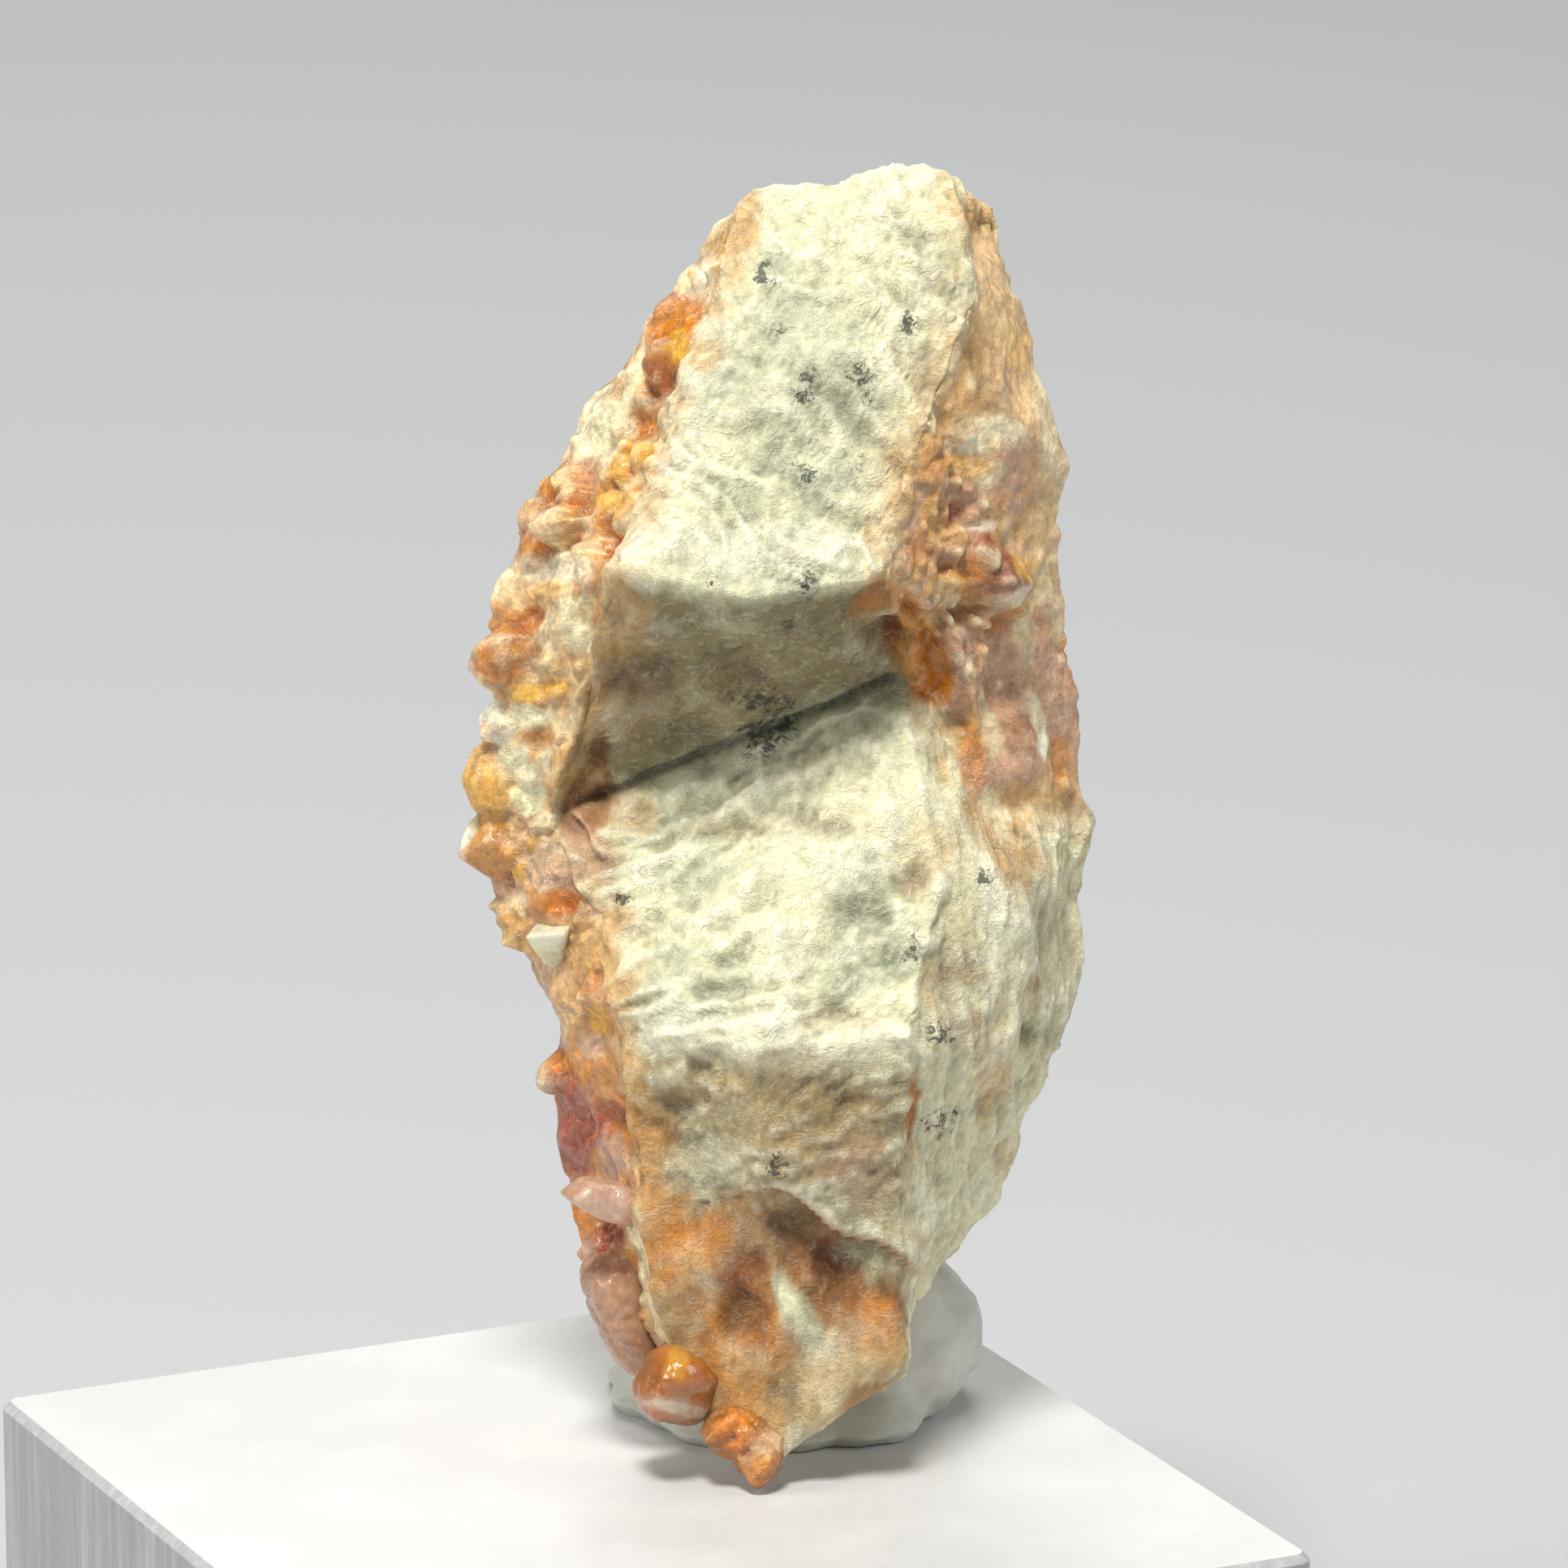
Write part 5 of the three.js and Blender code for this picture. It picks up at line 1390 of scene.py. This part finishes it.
@dataclass(frozen=True)
class MineralFinish:
    """The finish of a mineral surface whose tone is on its points.

    Facets are their number to a millimetre and their height, and grit is the same for grains. Grit
    and cells give small changes of lightness, gloss and height. Glow is how much light goes into the
    mineral and out again nearby, and reach is how far, in millimetres for red, green and blue. With
    gem_gloss, strong colours are glossier than pale ones.
    """

    name: str
    slot: str
    facets: tuple[float, float]
    grit: tuple[float, float]
    contrast: float
    cell_contrast: float
    threads: float
    fibres: float
    bump: float
    roughness: tuple[float, float]
    glow: float
    reach: tuple[float, float, float] = (0.6, 0.5, 0.35)
    bump_depth: float = 0.3
    clear: float = 0.0
    bend: float = 1.55
    varnish: float = 0.0
    growths: bool = False
    gem_gloss: bool = False

    def material(self, broken: bpy.types.NodeTree) -> bpy.types.Material:
        """Builds the material.

        Args:
            broken: The shared group of broken mineral.

        Returns:
            The material.
        """
        made, board, skin = start_material(
            self.name, IOR=self.bend, Transmission_Weight=self.clear, Subsurface_Weight=self.glow,
            Subsurface_Scale=MM, Subsurface_Radius=self.reach, Coat_Weight=self.varnish, Coat_Roughness=0.12)
        tone = board.add("ShaderNodeAttribute", attribute_name="tone")
        form = board.add("ShaderNodeGroup", node_tree=broken, Facets_per_mm=self.facets[0],
                         Facet_Height=self.facets[1], Grains_per_mm=self.grit[0], Grit_Height=self.grit[1])
        light = board.step(form.outputs["Grit"], 0.3, 0.7, 1 - self.contrast, 1 + self.contrast)
        cell = board.step(form.outputs["Cell"], 0.0, 1.0, 1 - self.cell_contrast, 1 + self.cell_contrast)
        patch = board.step(form.outputs["Patches"], 0.35, 0.65,
                           1 - 0.5 * self.contrast, 1 + 0.3 * self.contrast)
        scale = board.maths("MULTIPLY", board.maths("MULTIPLY", light, cell), patch)
        grey = board.add("ShaderNodeCombineColor")
        for socket in grey.inputs:
            board.link(scale, socket)
        colour = board.blend(1.0, tone.outputs["Color"], grey.outputs[0], "MULTIPLY")
        parts = board.add("ShaderNodeSeparateColor", mode="HSV")
        board.link(tone.outputs["Color"], parts.inputs["Color"])
        strong = parts.outputs[1]
        for name, share in (("Threads", self.threads), ("Fibres", self.fibres)):
            amount = board.step(strong, 0.4, 0.75, share, 0.4 * share)
            pale = board.maths("MULTIPLY", form.outputs[name], amount)
            colour = board.blend(pale, colour, Tone.WHITE.value)
        if self.growths:
            colour = board.blend(self.growth_mask(board), colour, Tone.BLACK.value)
        board.link(colour, skin.inputs["Base Color"])
        rough = board.step(form.outputs["Cell"], 0.1, 0.9, *self.roughness)
        if self.gem_gloss:
            rough = board.maths("MULTIPLY", rough, board.step(strong, 0.4, 0.96, 1.7, 0.35))
        board.link(rough, skin.inputs["Roughness"])
        board.emboss(skin, form.outputs["Height"], self.bump, MM * self.bump_depth)
        return made

    @staticmethod
    def growth_mask(board: ShaderBoard) -> bpy.types.NodeSocket:
        """Feathery blots and branching twigs inside the places that the attribute "speck" gives.

        Blots lie where fine layered noise plus the place's share is high. Twigs are the borders of a
        cell pattern on bent coordinates, nearer the place's centre and broken up by the same noise.

        Args:
            board: The material's board.

        Returns:
            The output of the black share.
        """
        place = board.add("ShaderNodeAttribute", attribute_name="speck")
        at = millimetres(board)
        blots = board.noise(at, Scale=3.0, Detail=4.0, Roughness=0.75, Distortion=0.8)
        bent = board.vector("MULTIPLY_ADD", blots.outputs["Color"], (0.7, 0.7, 0.7), at)
        net = board.add("ShaderNodeTexVoronoi", feature="DISTANCE_TO_EDGE", Scale=2.3)
        board.link(bent.outputs[0], net.inputs["Vector"])
        share = board.maths("MULTIPLY", place.outputs["Fac"], 0.26)
        blot = board.step(board.maths("ADD", blots.outputs["Fac"], share), 0.70, 0.78)
        twig = board.maths("MULTIPLY", board.step(net.outputs["Distance"], 0.02, 0.06, 1.0, 0.0),
                           board.step(place.outputs["Fac"], 0.3, 0.55))
        broken_twig = board.maths("MULTIPLY", twig, board.step(blots.outputs["Fac"], 0.42, 0.54))
        either = board.maths("MAXIMUM", blot, broken_twig)
        return board.maths("MULTIPLY", either, board.step(place.outputs["Fac"], 0.05, 0.25, 0.0, 0.85))


class Skin(Enum):
    """The mineral finishes."""

    ROCK = MineralFinish(
        "pale_broken_rock", "pale_rock", facets=(1.3, 0.12), grit=(2.6, 0.5), contrast=0.16,
        cell_contrast=0.02, threads=0.36, fibres=0.28, bump=0.8, roughness=(0.6, 0.95), glow=0.12,
        growths=True)
    CRUST = MineralFinish(
        "garnet_crust", "garnet", facets=(2.0, 0.6), grit=(3.2, 0.35), contrast=0.26, cell_contrast=0.14,
        threads=0.6, fibres=0.2, bump=0.7, roughness=(0.12, 0.5), glow=0.3, reach=(0.6, 0.3, 0.1),
        varnish=0.12, gem_gloss=True)
    PALE_CRUST = MineralFinish(
        "pale_garnet_crust", "garnet_pale", facets=(1.8, 0.6), grit=(3.0, 0.35), contrast=0.22,
        cell_contrast=0.08, threads=0.6, fibres=0.3, bump=0.6, roughness=(0.15, 0.55), glow=0.3,
        reach=(0.6, 0.35, 0.2), varnish=0.1, gem_gloss=True)
    GEM = MineralFinish(
        "orange_garnet", "garnet", facets=(1.2, 0.3), grit=(3.0, 0.3), contrast=0.15, cell_contrast=0.03,
        threads=0.05, fibres=0.03, bump=0.3, roughness=(0.08, 0.22), glow=0.5, reach=(1.2, 0.4, 0.1),
        bump_depth=0.2, clear=0.2, bend=1.8, varnish=0.4)
    QUARTZ = MineralFinish(
        "cloudy_quartz", "quartz", facets=(1.4, 0.3), grit=(3.5, 0.3), contrast=0.15, cell_contrast=0.05,
        threads=0.2, fibres=0.1, bump=0.3, roughness=(0.15, 0.4), glow=0.35, reach=(1.0, 0.8, 0.7),
        bump_depth=0.2, clear=0.2, bend=1.54, varnish=0.1)
    PUTTY = MineralFinish(
        "mounting_putty", "putty", facets=(0.7, 0.1), grit=(2.0, 0.4), contrast=0.05, cell_contrast=0.0,
        threads=0.0, fibres=0.0, bump=0.3, roughness=(0.45, 0.65), glow=0.3, reach=(0.8, 0.75, 0.65),
        bump_depth=0.2)


@dataclass(frozen=True)
class ClearBlockFinish:
    """Acrylic with a frosted, nearly white top and grey see-through sides with upright saw marks."""

    name: str = "frosted_acrylic"
    top_colour: tuple[float, float, float] = (0.96, 0.96, 0.95)
    side_colour: tuple[float, float, float] = (0.50, 0.52, 0.53)
    mark_colour: tuple[float, float, float] = (0.74, 0.76, 0.77)
    clear: float = 0.3
    saw_stretch: float = 0.035

    def material(self) -> bpy.types.Material:
        """Builds the material: saw marks are noise stretched along Z, and scuffs are soft noise."""
        made, board, skin = start_material(self.name, IOR=1.49, Transmission_Weight=self.clear)
        facing = board.add("ShaderNodeNewGeometry")
        parts = board.add("ShaderNodeSeparateXYZ")
        board.link(facing.outputs["Normal"], parts.inputs[0])
        top = board.step(board.maths("ABSOLUTE", parts.outputs["Z"]), 0.6, 0.9)
        saw = board.noise(millimetres(board, self.saw_stretch), Scale=2.4, Detail=7.0, Roughness=0.75)
        scuff = board.noise(millimetres(board), Scale=0.3, Detail=4.0, Roughness=0.55)
        marks = board.step(saw.outputs["Fac"], 0.42, 0.66)
        dust = board.step(scuff.outputs["Fac"], 0.42, 0.7)
        side = board.blend(marks, self.side_colour, self.mark_colour)
        worn = board.blend(dust, tuple(0.95 * c for c in self.top_colour), self.top_colour)
        board.link(board.blend(top, side, worn), skin.inputs["Base Color"])
        rough = board.maths("ADD", board.maths("MULTIPLY", marks, 0.2), board.maths("MULTIPLY", dust, 0.12))
        frosted = board.maths("ADD", board.maths("MULTIPLY", top, 0.15), 0.25)
        board.link(board.maths("ADD", rough, frosted), skin.inputs["Roughness"])
        cuts = board.maths("MULTIPLY", saw.outputs["Fac"], board.maths("SUBTRACT", 1.0, top))
        height = board.maths("ADD", cuts, board.maths("MULTIPLY", scuff.outputs["Fac"], 0.06))
        board.emboss(skin, height, 0.4, 0.1 * MM)
        return made


@dataclass
class PuttyWad:
    """Soft pale putty pressed between the stone and the block.

    It bulges out behind and to the right of the stone, and spreads thin in front and to the left.
    """

    centre: tuple[float, float] = (0.25, 1.7)
    radius: float = 6.0
    height: float = 6.3
    bulge_way: float = math.radians(35)
    columns: int = 260
    rows: int = 120
    foot_rows: int = 34
    tone: tuple[float, float, float] = (0.68, 0.67, 0.60)
    foot_tone: tuple[float, float, float] = (0.62, 0.63, 0.56)

    def build(self) -> bpy.types.Object:
        """Builds the wad as rings from its foot to its top.

        At a height share w, the bulging side's radius is sqrt(1 - (1.55 w - 0.5)^2) and the thin
        side's falls from 1 to 0.7 within a sixth of the height. They are mixed by the cosine of the
        angle from bulge_way. Lumps of noise and finger presses come on top.
        """
        w = np.concatenate([np.linspace(0, 0.15, self.foot_rows),
                            np.linspace(0.16, 1, self.rows - self.foot_rows)])
        a = np.linspace(0, 2 * math.pi, self.columns, endpoint=False)
        around, up = np.meshgrid(a, w)
        round_foot = np.sqrt(np.clip(up / 0.05, 0, 1))
        bulge = np.sqrt(np.clip(1 - (1.55 * up - 0.5) ** 2, 0, 1)) * (1.02 - 0.04 * (1 - round_foot))
        thin = (1.0 - 0.3 * ramp(up, 0.05, 0.2)) * (0.95 + 0.05 * round_foot)
        thin = thin * np.sqrt(np.clip(1 - up**3, 0, 1))
        share = ramp(np.cos(around - self.bulge_way), -0.35, 0.5)
        r = thin * (1 - share) + bulge * share
        q = np.stack([np.cos(around) * r, np.sin(around) * r, up], axis=-1)
        foot = 1 - ramp(up, 0.05, 0.3)
        lump = 1 + 0.03 * noise(q * 1.9 + 5) + (0.025 + 0.05 * foot) * noise(q * 4.3 + 1)
        dimples = (0.015 + 0.045 * foot) * np.maximum(0, noise(q * np.array([7.0, 7.0, 9.0]) + 3))
        p = np.stack([
            self.centre[0] + self.radius * q[..., 0] * (lump - dimples),
            self.centre[1] + self.radius * q[..., 1] * (lump - dimples),
            self.height * up * (1 + 0.04 * noise(q * 2.3 + 9)) + 0.02,
        ], axis=-1)
        fine = 0.1 * fractal(p / 0.9, 3)
        p[..., :2] += (p[..., :2] - np.array(self.centre)) / self.radius * fine[..., None]
        base = mix(np.array(self.tone), np.array(self.foot_tone), foot * (1 - share))
        # Painted shade: the finger presses are darkened in colour by their depth; the layered noise is the
        # putty's own uneven tone.
        colours = base * (1 + 0.12 * fractal(p / 1.2, 4, 3.0) - 3.0 * dimples)[..., None]
        return closed_surface("putty_wad", p, colours)


BLADE = ((1, 0.2, 0.15), (-1, -0.1, 0.35), (0, 1, 0.15), (0.05, -1, 0.1), (0, 0.1, 1), (0, -0.1, -1),
         (0, -0.75, 0.7), (-0.7, -0.2, -0.7))
CHUNK = ((1, 0.1, 0), (-1, 0.1, 0.05), (0, 1, 0.1), (0.1, -1, 0), (0, 0.05, 1), (0.05, 0, -1))
WEDGE = ((0.9, 0, 0.45), (-0.9, 0.1, 0.45), (0, -1, 0.2), (0, 1, 0.1), (0.1, 0, -0.9), (-0.3, -0.7, 0.7))


def single_crystals() -> tuple[WornCrystals, ...]:
    """The single crystals and small groups that stand out of the crusts."""
    return (
        WornCrystals(
            "foot_garnet", "garnet_foot", Skin.GEM,
            (Lobe((-3.35, -6.4, 3.25), (1.3, 1.15, 1.25), (8, 28, 32), CHUNK, 3.0),),
            Tone.EMBER, Tone.RUST, rough=0.1,
            colour_patches=colour_patches(
                (-3.3, 0.85, 1.4, 0.35, Tone.PINK, 0.95, 12), (-3.2, 0.8, 1.1, 0.2, Tone.WHITE, 0.6, 12),
                (-3.3, 1.45, 1.2, 0.12, Tone.RUST, 0.4, 6), (-4.6, 2.2, 0.3, 1.0, Tone.RUST, 0.7, 10),
                # Painted highlight: the YELLOW_ORANGE patch on the crystal's middle.
                (-3.4, 2.4, 0.5, 0.7, Tone.YELLOW_ORANGE, 0.7),
            )),
        WornCrystals(
            "tip_garnets", "garnet_tip", Skin.CRUST,
            (Lobe((-0.75, -7.6, 1.0), (0.62, 0.65, 0.66), (25, 10, 40), CHUNK, 2.8),
             Lobe((-1.8, -7.2, 1.9), (0.6, 0.6, 0.75), (5, 40, 10), CHUNK, 2.8),
             Lobe((-0.9, -7.0, 1.8), (1.0, 0.8, 0.6), (50, 15, 0), CHUNK, 2.8)),
            Tone.EMBER, Tone.RUST, rough=0.2, join=3.5,
            colour_patches=colour_patches(
                (-0.6, -0.4, 0.9, 0.5, Tone.SHELL, 0.45, -30), (-1.5, 0.4, 0.5, 0.3, Tone.DEEP_ORANGE, 0.6),
                (-0.9, -1.1, 0.4, 0.5, Tone.AMBER, 0.7), (-1.7, -0.1, 0.2, 0.25, Tone.RED_BROWN, 0.8),
                (-1.2, -0.6, 0.2, 0.15, Tone.RED_BROWN, 0.7),
            ),
            pits=pits((-1.7, -0.1, 0.25, 0.2), (-1.2, -0.6, 0.2, 0.15))),
        WornCrystals(
            "quartz_blade", "quartz_blade", Skin.QUARTZ,
            (Lobe((-5.4, -5.2, 8.9), (1.35, 0.6, 0.6), (0, 14, 8), BLADE, 11.0),), Tone.ROSE, Tone.PINK),
        WornCrystals(
            "quartz_chip", "quartz_chip", Skin.QUARTZ,
            (Lobe((-7.4, -3.0, 16.9), (0.5, 0.45, 0.62), (10, 170, 25), WEDGE, 8.0),),
            Tone.WHITE, Tone.CREAM),
        WornCrystals(
            "foot_quartz", "quartz_foot", Skin.QUARTZ,
            (Lobe((-4.75, -3.2, 4.8), (1.4, 1.6, 2.1), (5, -25, 25), CHUNK, 3.8),),
            Tone.PINK, Tone.MAUVE, rough=0.22),
    )


@dataclass
class Specimen:
    """The stone with its crusts and single crystals, the putty and the block."""

    crusts: tuple[GarnetCrust, ...] = field(default_factory=lambda: (left_crust(), right_crust()))
    crystals: tuple[WornCrystals, ...] = field(default_factory=single_crystals)

    def build(self) -> None:
        """Builds and dresses every piece."""
        broken = broken_group()
        materials = {skin: skin.value.material(broken) for skin in Skin}
        matrix = MatrixRock(self.crusts)
        pieces = [(matrix.build(), Skin.ROCK, "matrix")]
        pieces += [(crust.build(matrix), crust.skin, crust.node) for crust in self.crusts]
        pieces.append((PuttyWad().build(), Skin.PUTTY, "putty"))
        pieces += [(crystal.build(), crystal.skin, crystal.node) for crystal in self.crystals]
        for obj, skin, node in pieces:
            finish_piece(obj, materials[skin], skin.value.slot, node)
        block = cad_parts["display_block"]
        block.data.materials.clear()
        block.data.materials.append(ClearBlockFinish().material())


@dataclass
class Studio:
    """A plain pale floor, soft lights and a camera at the photograph's angle.

    The camera looks from azimuth -25.25 and elevation 15.1 degrees at a point 21 mm above the
    block's top, 314.4 mm away, with a lens of 12000 / 1932 frame widths.
    """

    aim: tuple[float, float, float] = (7.242, 4.638, BLOCK_HEIGHT + 21.0)
    distance: float = 314.39
    azimuth: float = math.radians(-25.247)
    elevation: float = math.radians(15.099)
    sensor: float = 36.0
    lens_widths: float = 12000 / 1932

    def build(self) -> None:
        """Builds the floor, the lights, the world and the camera."""
        self.add_floor()
        self.add_camera()
        for name, place, size, power, colour in (
            ("key", (-0.12, -0.16, 0.48), 0.11, 2.5, (1.0, 0.985, 0.95)),
            ("right", (0.36, -0.24, 0.26), 0.24, 0.55, (0.98, 0.99, 1.0)),
            ("left", (-0.40, 0.04, 0.24), 0.20, 0.75, (1.0, 0.98, 0.95)),
            ("back", (0.12, 0.36, 0.34), 0.25, 0.8, (1.0, 0.99, 0.97)),
        ):
            self.add_light(name, place, size, power, colour)
        world = bpy.data.worlds.new("studio_air")
        world.use_nodes = True
        world.node_tree.nodes["Background"].inputs["Color"].default_value = (0.86, 0.88, 0.9, 1)
        world.node_tree.nodes["Background"].inputs["Strength"].default_value = 0.16
        bpy.context.scene.world = world
        bpy.context.scene.view_settings.view_transform = "Standard"

    def add_floor(self) -> None:
        """A flat square 3 m wide at the block's underside."""
        points = np.array([[-1.5, -1.5, 0], [1.5, -1.5, 0], [1.5, 1.5, 0], [-1.5, 1.5, 0]])
        floor = make_mesh("floor", points, [np.array([[0, 1, 2, 3]])])
        paint = bpy.data.materials.new("floor_paint")
        paint.use_nodes = True
        skin = paint.node_tree.nodes["Principled BSDF"]
        skin.inputs["Base Color"].default_value = (0.50, 0.51, 0.52, 1)
        skin.inputs["Roughness"].default_value = 0.85
        floor.data.materials.append(paint)

    def add_camera(self) -> None:
        """The camera: aim + distance (cos e sin a, -cos e cos a, sin e), looking at aim."""
        back = Vector((math.cos(self.elevation) * math.sin(self.azimuth),
                       -math.cos(self.elevation) * math.cos(self.azimuth), math.sin(self.elevation)))
        aim = Vector(self.aim) * MM
        lens = bpy.data.cameras.new("camera")
        lens.sensor_width = self.sensor
        lens.lens = self.lens_widths * self.sensor
        lens.clip_start = 0.01
        camera = bpy.data.objects.new("camera", lens)
        camera.location = aim + back * self.distance * MM
        camera.rotation_euler = (-back).to_track_quat("-Z", "Y").to_euler()
        bpy.context.scene.collection.objects.link(camera)
        bpy.context.scene.camera = camera

    def add_light(self, name: str, place: tuple[float, float, float], size: float, power: float,
                  colour: tuple[float, float, float]) -> None:
        """A square soft light that faces the stone.

        Args:
            name: The light's name.
            place: Where it hangs, in metres.
            size: Its side, in metres.
            power: Its power, in watts.
            colour: Its linear colour.
        """
        lamp = bpy.data.lights.new(name, "AREA")
        lamp.size, lamp.energy, lamp.color = size, power, colour
        obj = bpy.data.objects.new(name, lamp)
        obj.location = place
        aim = Vector(self.aim) * MM
        obj.rotation_euler = (aim - Vector(place)).to_track_quat("-Z", "Y").to_euler()
        bpy.context.scene.collection.objects.link(obj)


def main() -> None:
    logging.basicConfig(level=logging.INFO, format="%(name)s %(message)s")
    Studio().build()
    Specimen().build()
    bpy.context.view_layer.update()


if __name__ == "__main__":
    main()
